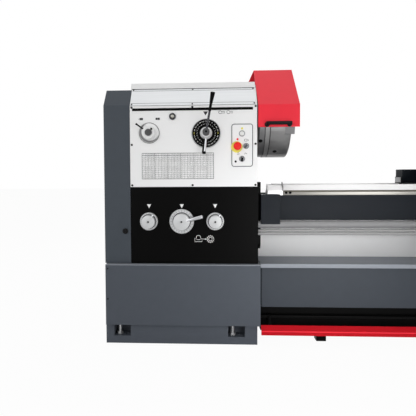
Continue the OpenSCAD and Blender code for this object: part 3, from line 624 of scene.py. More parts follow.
@dataclass
class Structure:
    """Bed and its ways, cabinets and their covers, tray, skirt and tank."""

    edge: float = 2.0
    cast_edge: float = 4.0

    def build(self) -> None:
        """Dresses the fixed structure."""
        for node in ("bed", "coupling_cover"):
            rounded_copy(node, Finishes.BED, self.edge)
        for node in ("left_pedestal", "right_pedestal"):
            rounded_copy(node, Finishes.CABINET, self.cast_edge, 3)
        rounded_copy("front_skirt", Finishes.SKIRT, 0.6)
        rounded_copy("chip_tray", Finishes.TRAY, 0.8)
        paint_node("chip_wall", Finishes.PALE)
        # The coolant tank is black all over: painted shade for the dark space under the tray.
        rounded_copy("coolant_tank", Finishes.BLACK, 3.0)
        # The gap bridge takes the near-white painted highlight of the way tops.
        paint_node("gap_bridge", Finishes.WAY_TOP)
        paint_node("levelling_feet", Finishes.STEEL)
        self.ways()
        self.way_end()
        self.cabinet_bolts()
        self.access_covers()

    def ways(self) -> None:
        """Lays the ground skins over the bed's painted casting."""
        bridge = DATUM.box("gap_bridge")[1]
        start, end = bridge.x + 0.6, DATUM.box("bed")[1].x
        skin = Shape()
        skin.box((start, 59.6, 749), (end, 150.4, 773.3), 0.4)
        skin.box((start, 389.6, 749), (end, 470.4, 773.3), 0.4)
        skin.piece("way_skins", Finishes.GROUND, "frame")
        top = bridge.z + 2.3
        # The way tops are near white as a painted highlight; the skins below keep the darker steel as painted
        # shade.
        tops = Shape().slab([(71.6, 772.8), (118.4, 772.8), (98.2, top), (91.8, top)], start, end, 0.5)
        tops.slab([(424.6, 772.8), (465.4, 772.8), (465.4, top), (424.6, top)], start, end, 0.8)
        tops.piece("way_tops", Finishes.WAY_TOP, "frame", facing=Facing.RIGHT)

    def way_end(self) -> None:
        """Closes the ways' left end with a pointed plate and two cap screws, and lays a dark strip along the
        ways' upper edge as painted shade under the way tops.
        """
        plate = Shape().slab([(60.5, 744.0), (127.0, 744.0), (127.0, 775.0), (99.0, 816.0), (92.0, 816.0),
                              (63.0, 790.0)], 387.8, 391.8, 0.6)
        plate.piece("way_end_plate", Finishes.SLIDE, "frame", facing=Facing.RIGHT)
        caps = Shape()
        for x in (405.0, 425.0):
            caps.rod((x, 59.6, 761.5), (x, 54.0, 761.5), 7.0, 6.8, 24, 0.8)
        caps.piece("way_cap_screws", Finishes.BLACK, "frame")
        # A dark strip under the way tops: painted shade.
        edge = Shape().box((392.5, 58.9, 764.5), (2299.0, 59.5, 773.2))
        edge.piece("way_painted_edge_shade", Finishes.OILED, "frame")

    def cabinet_bolts(self) -> None:
        """Adds the bolts on the cabinets' fronts and on the coupling cover."""
        bolts = Shape()
        for x, y, z in ((-497.0, -30.0, 386.0), (-497.0, -30.0, 232.0), (1915.0, -30.0, 386.0),
                        (2316.0, -30.0, 386.0),
                        (1915.0, -30.0, 232.0), (2316.0, -30.0, 232.0), (280.0, 4.0, 742.0),
                        (359.0, 4.0, 742.0)):
            bolts.rod((x, y - 0.1, z), (x, y - 2.4, z), 4.2, 3.6, 24, 0.6)
        bolts.piece("cabinet_bolts", Finishes.BLACK_PLASTIC, "frame")

    def access_covers(self) -> None:
        """Adds the louvred motor cover on the left cabinet's back and the plain one on the right end."""
        low, high = DATUM.box("left_pedestal")
        (x0, z0), (x1, z1) = (low.x + 110.0, 175.0), (high.x - 110.0, 370.0)
        covers = Shape().box((x0, high.y - 0.1, z0), (x1, high.y + 1.8, z1), 0.8)
        hoods, slots = louvres((x0 + 70.0, z0 + 40.0), (x1 - 70.0, z1 - 30.0), high.y + 1.8)
        covers.join(hoods)
        end = DATUM.box("right_pedestal")[1].x
        covers.box((end - 0.1, 90.0, z0), (end + 1.8, 430.0, z1), 0.8)
        covers.piece("access_covers", Finishes.CABINET, "frame")
        slots.piece("motor_cover_slot_shade", Finishes.RUBBER, "frame")
        screws = Shape()
        for x in (x0 + 12.0, x1 - 12.0):
            for z in (z0 + 12.0, z1 - 12.0):
                screws.rod((x, high.y + 1.0, z), (x, high.y + 4.4, z), 5.4, 5.2, 24, 0.8)
        for y in (102.0, 418.0):
            for z in (z0 + 12.0, z1 - 12.0):
                screws.rod((end + 1.0, y, z), (end + 4.4, y, z), 5.4, 5.2, 24, 0.8)
        screws.piece("access_cover_screws", Finishes.BLACK, "frame")


def louvres(low: tuple[float, float], high: tuple[float, float], face: float) -> tuple[Shape, Shape]:
    """Shapes a stack of pressed louvres on a face that looks back, and black plates in the slots under them
    as painted shade in the openings.

    Args:
        low: Lowest X and Z.
        high: Highest X and Z.
        face: Y of the sheet that they are pressed from.

    Returns:
        The hoods and the slots.
    """
    hoods, slots = Shape(), Shape()
    pitch = 19.0  # from one louvre to the next
    for i in range(int((high[1] - low[1]) / pitch)):
        z = low[1] + i * pitch
        hood = Shape().slab([(face - 0.5, z + 12.0), (face - 0.5, z), (face + 5.6, z), (face + 4.8, z + 3.0)],
                            low[0], high[0])
        hoods.join(hood, Facing.RIGHT.matrix())
        # A black plate fills each opening: painted shade inside the cover.
        slots.box((low[0] + 3.0, face - 0.3, z - 3.5), (high[0] - 3.0, face + 0.25, z + 0.2))
    return hoods, slots


@dataclass
class ElectricalCabinet:
    """The steel cabinet on the headstock's back, with its door, seal, locks, hinges and louvres."""

    door_t: float = 17.0
    seal_t: float = 3.0
    proud: float = 6.0

    def build(self) -> None:
        """Builds the case with the door on it."""
        low, high = DATUM.box("electrical_cabinet")
        face = high.y - self.proud
        back = face - self.door_t
        case = Shape().box(low, (high.x, back - self.seal_t, high.z), 2.0)
        case.piece("cabinet_case", Finishes.CABINET, "frame", replaces=("electrical_cabinet",))
        seal = Shape().box((low.x + 6.0, back - self.seal_t - 0.1, low.z + 6.0),
                           (high.x - 6.0, back + 0.1, high.z - 6.0))
        seal.piece("cabinet_seal", Finishes.RUBBER, "frame")
        door = Shape().box((low.x + 1.0, back, low.z + 1.0), (high.x - 1.0, face, high.z - 1.0), 3.0, 3)
        middle = (low.x + high.x) / 2
        hoods, slots = louvres((middle - 90.0, low.z + 60.0), (middle + 90.0, low.z + 200.0), face)
        door.join(hoods)
        door.piece("cabinet_door", Finishes.CABINET, "frame")
        slots.piece("cabinet_door_slot_shade", Finishes.RUBBER, "frame")
        locks, hinges = Shape(), Shape()
        for z in (low.z + 95.0, high.z - 95.0):
            lock = Shape().turned([(0, -0.5), (15.0, -0.5), (15.0, 3.0), (13.5, 4.6), (6.0, 4.6), (5.4, 3.4),
                                   (0, 3.4)], 40)
            lock.box((-1.6, -5.0, 3.0), (1.6, 5.0, 4.4))
            locks.join(lock, Matrix.Translation((low.x + 34.0, face, z)) @ Facing.BACK.matrix())
            hinges.rod((high.x + 3.2, back - 1.5, z - 26.0), (high.x + 3.2, back - 1.5, z + 26.0), 4.6, 4.6,
                       24, 0.8)
        locks.piece("cabinet_locks", Finishes.SATIN_DARK, "frame")
        hinges.piece("cabinet_hinges", Finishes.CABINET, "frame")


@dataclass
class Headstock:
    """Housing, plates, cover and the end cover."""

    edge: float = 2.0

    def build(self) -> None:
        """Dresses the headstock and its covers."""
        rounded_copy("headstock_housing", Finishes.WHITE, self.edge)
        rounded_copy("headstock_cover", Finishes.LID, 3.0, 3)
        rounded_copy("front_plate", Finishes.WHITE, 0.6)
        rounded_copy("sloping_strip", Finishes.STRIP, 0.6)
        rounded_copy("feed_box", Finishes.BLACK, 1.2)
        rounded_copy("end_cover", Finishes.COVER, 3.0, 3)
        paint_node("screws", Finishes.BLACK)
        paint_node("spindle_bearings", Finishes.STEEL)
        paint_node("drive_belts", Finishes.RUBBER)
        paint_node("motor", Finishes.IRON)
        paint_node("input_pulley", Finishes.IRON)
        for node in ("stud_gear", "feed_gear"):
            paint_node(node, Finishes.STEEL)
        self.trim()
        self.strip_fittings()

    def trim(self) -> None:
        """Adds the black bar across the white plate and the seams above and below the strip."""
        bar = Shape().box((-369.0, -2.2, 1174.0), (231.0, -0.2, 1187.0), 0.5)
        bar.piece("plate_bar", Finishes.BLACK, "frame")
        seams = Shape().box((-380.0, -0.9, 1198.8), (245.0, -0.2, 1200.6))
        seams.box((-380.0, 76.6, 1293.6), (245.0, 78.0, 1297.0))
        seams.box((-380.0, -0.9, 792.6), (252.5, -0.2, 794.6))
        seams.piece("plate_seams", Finishes.RUBBER, "frame")
        screws = Shape()
        edges = [(x, z) for x in (-372.0, -68.0, 244.0) for z in (803.0, 1191.0)]
        for x, z in edges + [(-372.0, 1006.0), (244.0, 1006.0), (-372.0, 748.0), (-372.0, 517.0)]:
            screws.rod((x, -0.2, z), (x, -2.5, z), 5.4, 5.2, 24, 0.8)
        screws.piece("plate_screws", Finishes.BLACK, "frame", replaces=("screws",))

    def strip_fittings(self) -> None:
        """Adds the sloping strip's pressed lines, as grey rods of painted crease shade, and its screws."""
        start, rise = Vector((0.0, 0.0, 1200.0)), Vector((0.0, 79.0, 97.0))
        out = Vector((0.0, -97.0, 79.0)).normalized()
        lines, screws = Shape(), Shape()
        # Grey rods along the two pressed lines: painted shade in the creases.
        for share in (0.14, 0.88):
            spot = start + rise * share
            lines.rod(spot + Vector((-376.0, 0.0, 0.0)), spot + Vector((241.0, 0.0, 0.0)), 0.9, steps=8)
        for share in (0.07, 0.94):
            for x in (-372.0, -68.0, 238.0):
                spot = start + rise * share + Vector((x, 0.0, 0.0))
                screws.rod(spot - out, spot + out * 2.4, 4.0, 3.4, 20, 0.5)
        lines.piece("strip_lines", Finishes.GREY_INK, "frame")
        screws.piece("strip_screws", Finishes.BLACK_PLASTIC, "frame")


@dataclass
class Spindle:
    """Spindle, chuck, jaws and hood."""

    jaw_angles: tuple[int, ...] = (200, 320, 80)

    def build(self) -> None:
        """Dresses the spindle's parts."""
        paint_node("spindle", Finishes.STEEL)
        paint_node("chuck_backplate", Finishes.GREY_IRON)
        rounded_copy("chuck_body", Finishes.CHUCK, 1.0)
        for n in (1, 2, 3):
            rounded_copy(f"chuck_jaw_{n}", Finishes.GREY_IRON, 1.2)
        rings = Shape()
        for r, low, high in ((198.7, 298.0, 300.2), (199.3, 322.6, 325.4)):
            rings.turned([(r - 1.5, low), (r, low), (r, high), (r - 1.5, high), (r - 1.5, low)], 128)
        # Black rods end flush with the chuck's rim at the sockets: painted shade in the socket holes.
        for angle in self.jaw_angles:
            for x, turn, r, radius in ((358.0, 40, 199.7, 12.0), (278.5, 18, 198.2, 9.8)):
                out = outward(angle + turn)
                across = Vector((out.x, out.y, 0))
                rings.rod(across * 172 + Vector((0, 0, x)), across * r + Vector((0, 0, x)), radius, radius,
                          28)
        rings.piece("chuck_seams_and_socket_shade", Finishes.BLACK, "spindle", (0, SPINDLE_Y, SPINDLE_Z),
                    Facing.RIGHT)
        rounded_copy("chuck_guard", Finishes.RED, 0.8)
        self.guard_handle()

    def guard_handle(self) -> None:
        """Builds the hood's bar handle on its two cranked feet."""
        handle = Shape().rod((292.0, -32.0, 1104.0), (417.0, -32.0, 1104.0), 8.6, 8.6, 32, 3.0)
        for x in (299.0, 409.0):
            handle.rod((x, -8.2, 1099.0), (x, -31.0, 1103.5), 8.0, 8.0, 28)
            handle.rod((x, -8.1, 1099.0), (x, -11.5, 1099.0), 12.0, 12.0, 28, 1.0)
        handle.piece("hood_handle", Finishes.BLACK_PLASTIC, "guard", replaces=("guard_handle",))


def digits(text: str, size: float) -> Shape:
    """Gives plain digits as thin raised print, centred on the origin.

    Args:
        text: The digits.
        size: Height of the type.

    Returns:
        The digits as a shape.
    """
    curve = bpy.data.curves.new("digits", "FONT")
    curve.body = text
    curve.size = size
    curve.align_x = "CENTER"
    curve.align_y = "CENTER"
    curve.extrude = PRINT_T / 2
    curve.resolution_u = 2
    holder = bpy.data.objects.new("digits", curve)
    bpy.context.scene.collection.objects.link(holder)
    bpy.context.view_layer.update()
    mesh = bpy.data.meshes.new_from_object(holder.evaluated_get(bpy.context.evaluated_depsgraph_get()))
    bpy.data.objects.remove(holder)
    bpy.data.curves.remove(curve)
    shape = Shape()
    shape.bm.from_mesh(mesh)
    bpy.data.meshes.remove(mesh)
    return shape


def arc(x: float, y: float, radius: float, start: float, end: float,
        steps: int = 12) -> list[tuple[float, float]]:
    """Gives points along an arc, its angles in degrees."""
    angles = [math.radians(start + (end - start) * i / steps) for i in range(steps + 1)]
    return [(x + radius * math.cos(a), y + radius * math.sin(a)) for a in angles]


def round_corners(low: tuple[float, float], high: tuple[float, float],
                  radius: float) -> list[tuple[float, float]]:
    """Gives the outline of a rectangle with round corners."""
    x0, y0, x1, y1 = low[0] + radius, low[1] + radius, high[0] - radius, high[1] - radius
    return (arc(x1, y0, radius, -90, 0, 6) + arc(x1, y1, radius, 0, 90, 6)
            + arc(x0, y1, radius, 90, 180, 6) + arc(x0, y0, radius, 180, 270, 6))


def outward(angle: float) -> Vector:
    """Gives the unit vector in the XY plane at an angle in degrees."""
    return Vector((math.cos(math.radians(angle)), math.sin(math.radians(angle)), 0.0))


@dataclass
class Dial:
    """The numbered speed dial with its two levers."""

    x: float = 0.0
    z: float = 1059.0
    disc_r: float = 69.0
    flange_r: float = 73.5
    face: float = 18.8
    long_angle: float = 80.0
    range_angle: float = 264.0
    speeds: tuple[int, ...] = (25, 36, 52, 75, 105, 150, 210, 300, 430, 620, 880, 1250)

    def build(self) -> None:
        """Builds the dial, its print, the long lever and the range lever."""
        at = (self.x, 0, self.z)
        r, f = self.disc_r, self.flange_r
        flange = Shape().turned([(r - 2, 0.2), (f, 0.2), (f, 6.0), (f - 1.5, 9.0), (r + 1.5, 13.2),
                                 (r - 2, 13.9)], 96)
        flange.piece("dial_flange", Finishes.SATIN, "frame", at, Facing.FRONT)
        disc = Shape().turned([(16.5, 0.4), (16.5, self.face), (r - 1, self.face), (r, self.face - 1),
                               (r, 14.0), (r - 3, 13.0), (r - 3, 0.4), (16.5, 0.4)], 96)
        disc.piece("dial_disc", Finishes.BLACK, "frame", at, Facing.FRONT, replaces=("dial_plate",))
        self.print(at)
        self.long_lever(at)
        self.range_lever(at)

    def print(self, at: tuple[float, float, float]) -> None:
        """Prints the ticks, the two rings of speeds and the range lines.

        Args:
            at: The middle of its foot, in millimetres.
        """
        white, yellow = Shape(), Shape()
        height = self.face + PRINT_T / 2
        for i in range(24):
            speed = self.speeds[i % 12]
            turn = Matrix.Rotation(math.radians(-i * 15), 4, "Z")
            ring = yellow if i in (6, 18) else white
            ring.join(digits(str(speed), 6.8), turn @ Matrix.Translation((0, 58.5, height)))
            white.join(digits(str(speed // 2), 5.6), turn @ Matrix.Translation((0, 45.0, height)))
        white.piece("dial_print", Finishes.WHITE_INK, "frame", at, Facing.FRONT)
        yellow.piece("dial_print_yellow", Finishes.YELLOW_PLASTIC, "frame", at, Facing.FRONT)

    def long_lever(self, at: tuple[float, float, float]) -> None:
        """Builds the inner hub and the long lever that leans out to its black grip.

        Args:
            at: The middle of its foot, in millimetres.
        """
        hub = Shape().turned([(0, 60.5), (16.5, 60.5), (17.0, 61.5), (17.0, 104.0), (15.5, 108.5),
                              (5.0, 109.5),
                              (4.0, 105.0), (0, 105.0)], 64)
        hub.piece("lever_hub", Finishes.IRON, "speed_lever", at, Facing.FRONT, replaces=("speed_lever",))
        plug = Shape().turned([(0, 105.1), (5.6, 105.1), (5.6, 109.9), (0, 109.9)], 24)
        plug.piece("lever_hub_screw", Finishes.BLACK, "speed_lever", at, Facing.FRONT)
        out, up = outward(self.long_angle), Vector((0, 0, 1))
        rod = Shape().rod(out * 12 + up * 90, out * 140 + up * 100, 5.5, 5.5, 28)
        rod.piece("lever_rod", Finishes.DARK_CHROME, "speed_lever", at, Facing.FRONT)
        grip = Shape().rod(out * 98 + up * 96.7, out * 136 + up * 99.7, 6.4, 6.8, 32, 1.0)
        grip.rod(out * 134 + up * 99.5, out * 188 + up * 103.7, 7.2, 11.5, 36, 3.5)
        grip.piece("lever_grip", Finishes.BLACK, "speed_lever", at, Facing.FRONT)

    def range_lever(self, at: tuple[float, float, float]) -> None:
        """Builds the outer hub with its bright rod and black end, below the dial.

        Args:
            at: The middle of its foot, in millimetres.
        """
        hub = Shape().turned([(12.4, 19.5), (29.0, 19.5), (30.0, 20.5), (30.0, 28.0), (26.5, 33.0),
                              (25.5, 57.0),
                              (23.5, 59.5), (12.4, 59.5)], 72)
        hub.piece("range_hub", Finishes.BRIGHT, "range_lever", at, Facing.FRONT, replaces=("range_lever",))
        out, up = outward(self.range_angle), Vector((0, 0, 1))
        aside = Vector((1, 0, 0))
        rod = Shape().rod(out * 18 + up * 44 + aside * 2.5, out * 97 + up * 50 + aside * 2.5, 5.5, 6.0, 28)
        rod.piece("range_rod", Finishes.CHROME, "range_lever", at, Facing.FRONT)
        # A black strip along the rod's left side: painted shade on the bright rod.
        left_shade = Shape().rod(out * 30 + up * 44 - aside * 5.5, out * 97 + up * 49 - aside * 5.5, 4.6, 5.4, 24,
                            1.0)
        left_shade.piece("range_rod_painted_shade", Finishes.BLACK, "range_lever", at, Facing.FRONT)
        end = Shape().rod(out * 92 + up * 49.6, out * 104 + up * 50.6, 8.4, 9.4, 28, 2.0)
        end.piece("range_end", Finishes.BLACK, "range_lever", at, Facing.FRONT)


@dataclass
class ReverseLever:
    """The small lever that reverses the feed, in its bell-shaped boss."""

    x: float = -284.0
    z: float = 1064.0
    flange_r: float = 49.0
    cup_r: float = 31.0
    angle: float = 145.0

    def build(self) -> None:
        """Builds the boss, its core and the lever."""
        at = (self.x, 0, self.z)
        r, c = self.flange_r, self.cup_r
        ring = Shape().turned([(c, 0.4), (r, 0.4), (r, 4.0), (r - 1.5, 5.5), (r - 5.0, 6.0), (c + 8, 7.0),
                               (c, 7.0)], 80)
        ring.piece("reverse_flange", Finishes.WHITE, "reverse_lever", at, Facing.FRONT)
        bell = Shape().turned([(0, 6.0), (c + 4.0, 6.0), (c + 3.4, 10.0), (c + 2.0, 15.0), (c + 1.0, 23.0),
                               (0, 23.0)], 80)
        bell.piece("reverse_bell", Finishes.PALE, "reverse_lever", at, Facing.FRONT)
        cup = Shape().turned([(0, 22.0), (c, 22.0), (c, 36.0), (c - 1.5, 38.5), (c - 4.0, 39.5),
                              (c - 8.0, 39.0),
                              (c - 12.0, 37.0), (0, 37.0)], 80)
        cup.piece("reverse_cup", Finishes.PALE, "reverse_lever", at, Facing.FRONT,
                  replaces=("reverse_lever",))
        # A dark grey sector over the bell's lower left: painted shade on that side of the pale bell.
        near, spread = Vector((6.0, 6.0, 0.0)), 44.0
        rim = [outward(a) * (r - 1.5) for a in range(106, 345, 7)]
        rim += [near + outward(a) * spread for a in range(334, 116, -6)]
        painted_shade = Shape().slab([(p.x, p.y) for p in rim], 5.0, 7.4)
        painted_shade.piece("reverse_detent_sector", Finishes.GREY_IRON, "reverse_lever", at, Facing.FRONT)
        seam = Shape().turned([(r + 0.3, 0.3), (r + 2.6, 0.3), (r + 2.6, 2.6), (r + 0.3, 2.6),
                               (r + 0.3, 0.3)], 80)
        seam.piece("reverse_gasket", Finishes.RUBBER, "frame", at, Facing.FRONT)
        core = Shape().turned([(0, 36.5), (17.0, 36.5), (17.0, 43.0), (15.5, 44.5), (4.0, 44.5), (3.0, 42.0),
                               (0, 42.0)], 48)
        core.piece("reverse_core", Finishes.IRON, "reverse_lever", at, Facing.FRONT)
        out, up = outward(self.angle), Vector((0, 0, 1))
        rod = Shape().rod(out * 30 + up * 30, out * 66 + up * 33, 3.6, 3.6, 20)
        rod.rod(out * 62 + up * 32.7, out * 76 + up * 33.5, 4.2, 4.8, 24, 1.5)
        rod.piece("reverse_rod", Finishes.BLACK_PLASTIC, "reverse_lever", at, Facing.FRONT)
        pin = Shape().rod(outward(48) * 23 + up * 36, outward(48) * 23 + up * 43, 5.2, 5.2, 24, 1.2)
        pin.piece("reverse_pin", Finishes.BLACK, "reverse_lever", at, Facing.FRONT)


@dataclass
class FeedKnob:
    """One knob of the feed gearbox: toothed base, flat-faced drum, peg or bar handle."""

    node: str
    x: float
    base_r: float
    face_r: float
    peg_angle: float
    peg_reach: float
    peg_r: float
    z: float = 622.0
    base_h: float = 15.5
    reach: float = 49.5
    teeth: int = 56

    def build(self) -> None:
        """Builds the knob in place of its CAD node."""
        at = (self.x, 0, self.z)
        r, h, f, top = self.base_r, self.base_h, self.face_r, self.reach
        base, knob = Shape(), Shape()
        rim = [outward(180 * i / self.teeth) * (r - 1.3 * (i % 2)) for i in range(2 * self.teeth)]
        base.slab([(p.x, p.y) for p in rim], 0.6, h - 2.5)
        base.turned([(0, h - 3.0), (r - 2.0, h - 3.0), (r - 2.0, h - 1.0), (r - 3.5, h), (0, h)], 80)
        base.piece(self.node + "_base", Finishes.SATIN, self.node, at, Facing.FRONT)
        # A dark ring on the base round the drum's foot: painted shade in the crease between drum and base.
        foot_shade_ring = Shape().turned([(f + 0.4, h - 0.2), (f + 4.4, h - 0.2), (f + 4.4, h + 0.4),
                                 (f + 0.4, h + 0.4),
                                 (f + 0.4, h - 0.2)], 80)
        foot_shade_ring.piece(self.node + "_groove", Finishes.DARK_CHROME, self.node, at, Facing.FRONT)
        knob.turned([(0, h), (f + 1.0, h), (f + 0.5, 26.0), (f, top - 2.0), (f - 0.6, top - 0.6),
                     (f - 2.0, top),
                     (5.5, top), (5.0, top - 1.0), (5.0, top - 14.0), (0, top - 14.0)], 80)
        knob.piece(self.node + "_drum", Finishes.SATIN, self.node, at, Facing.FRONT, replaces=(self.node,))
        self.marks(at)
        out = outward(self.peg_angle)
        start = out * (f * 0.6) + Vector((0, 0, top - 7))
        end = out * self.peg_reach + Vector((0, 0, top - 9))
        peg = Shape().rod(start, end, self.peg_r, self.peg_r * 1.25, 24, self.peg_r * 0.25)
        peg.piece(self.node + "_peg", Finishes.CHROME, self.node, at, Facing.FRONT)
        plug = Shape().turned([(0, top - 13.9), (4.6, top - 13.9), (4.6, top - 13.0), (0, top - 13.0)], 24)
        plug.piece(self.node + "_screw", Finishes.BLACK_PLASTIC, self.node, at, Facing.FRONT)

    def marks(self, at: tuple[float, float, float]) -> None:
        """Prints the graduations round the base.

        Args:
            at: The middle of its foot, in millimetres.
        """
        lines = Shape()
        for i in range(24):
            out = outward(i * 15)
            lines.ribbon([out.xy * (self.face_r + 5.5), out.xy * (self.base_r - 4.0)], 1.2, self.base_h,
                         self.base_h + PRINT_T)
        lines.piece(self.node + "_marks", Finishes.GREY_INK, self.node, at, Facing.FRONT)


@dataclass
class PushPanel:
    """The sheet with the push buttons and the two selectors."""

    low: tuple[float, float] = (126.0, 894.0)
    high: tuple[float, float] = (230.0, 1104.0)
    thick: float = 3.0

    def build(self) -> None:
        """Builds the sheet's border, the buttons, the selectors and their marks."""
        paint_node("switch_panel", Finishes.WHITE)
        low, high = (self.low[0] + 1, self.low[1] + 1), (self.high[0] - 1, self.high[1] - 1)
        border = Shape().ribbon(round_corners(low, high, 11.0), 3.6, self.thick, self.thick + 0.8,
                                closed=True)
        border.piece("panel_border", Finishes.GREY_INK, "frame", facing=Facing.FRONT)
        self.start()
        self.stop()
        self.selector("side_selector", (197.0, 995.0), 52.0, Finishes.RING)
        self.selector("lower_selector", (177.0, 932.0), 82.0, Finishes.BLACK)
        self.lamps()
        self.symbols()

    def start(self) -> None:
        """Builds the white start button in its grey ring."""
        at = (177.0, 0.0, 1057.0)
        ring = Shape().turned([(11.4, 3.0), (15.0, 3.0), (15.0, 6.5), (14.0, 8.5), (12.0, 9.0), (11.4, 8.5),
                               (11.4, 3.0)], 48)
        ring.piece("start_ring", Finishes.SATIN_DARK, "frame", at, Facing.FRONT)
        head = Shape().turned([(0, -6.0), (10.8, -6.0), (10.8, 10.0), (10.0, 11.4), (8.5, 11.9), (0, 11.9)],
                              48)
        head.piece("start_head", Finishes.WHITE_PLASTIC, "start_button", at, Facing.FRONT,
                   replaces=("start_button",))

    def stop(self) -> None:
        """Builds the emergency stop on its yellow collar."""
        at = (154.0, 0.0, 994.0)
        collar = Shape().turned([(12.4, 3.0), (27.0, 3.0), (28.0, 4.0), (28.0, 5.5), (27.0, 6.5), (12.4, 6.5),
                                 (12.4, 3.0)], 64)
        collar.piece("stop_collar", Finishes.YELLOW_PLASTIC, "frame", (151.0, 0.0, 991.0), Facing.FRONT)
        head = Shape().turned([(0, -6.0), (11.8, -6.0), (11.8, 16.0), (14.0, 17.5), (18.8, 19.5),
                               (19.8, 21.0),
                               (19.8, 24.0), (18.6, 27.0), (15.0, 29.4), (9.0, 30.6), (0, 31.0)], 64)
        head.piece("stop_head", Finishes.RED_PLASTIC, "stop_button", at, Facing.FRONT,
                   replaces=("stop_button",))

    def selector(self, node: str, place: tuple[float, float], angle: float, bar: Finish) -> None:
        """Builds a rotary selector: a collar with a rounded bar across it.

        Args:
            node: The CAD node that it stands for.
            place: X and Z of its middle, in millimetres.
            angle: Degrees that the bar is turned.
            bar: The bar's finish.
        """
        at = (place[0], 0.0, place[1])
        ring = Shape().turned([(0, 3.2), (14.0, 3.2), (14.6, 3.8), (14.6, 9.0), (13.4, 10.9), (0, 10.9)], 48)
        ring.piece(node + "_ring", Finishes.GREY_PLASTIC, node, at, Facing.FRONT, replaces=(node,))
        grip = Shape().box((-12.8, -4.4, 10.0), (12.8, 4.4, 22.8), 1.6, 3)
        grip.piece(node + "_bar", bar, node, at, Facing.FRONT, angle)
        line = Shape().box((4.0, -0.8, 22.7), (12.0, 0.8, 23.0))
        line.piece(node + "_line", Finishes.WHITE_INK, node, at, Facing.FRONT, angle)

    def lamps(self) -> None:
        """Adds the two pilot lamps and the small lock."""
        for name, x, z, r, finish in (("yellow_lamp", 177.5, 1082.0, 5.4, Finishes.YELLOW_PLASTIC),
                                      ("red_lamp", 155.0, 1029.0, 5.2, Finishes.RED_PLASTIC),
                                      ("panel_lock", 146.0, 919.0, 5.2, Finishes.BLACK)):
            lens = Shape().turned([(0, 3.0), (r, 3.0), (r, 4.2), (r * 0.7, 5.4), (0, 5.9)], 32)
            lens.piece(name, finish, "frame", (x, 0.0, z), Facing.FRONT)

    def symbols(self) -> None:
        """Prints the small line symbols beside the selectors."""
        ink, low, high = Shape(), self.thick, self.thick + PRINT_T
        ink.ribbon(round_corners((190, 1019), (202, 1029), 1.5), 2.0, low, high, closed=True)
        ink.ribbon([(205, 1020), (210, 1024), (205, 1028)], 2.0, low, high)
        ink.ribbon(arc(158, 957, 5.0, 200, 520), 1.6, low, high)
        ink.ribbon([(189, 955), (194, 962), (198, 956), (202, 961)], 2.0, low, high)
        ink.piece("panel_symbols", Finishes.GREY_INK, "frame", facing=Facing.FRONT)


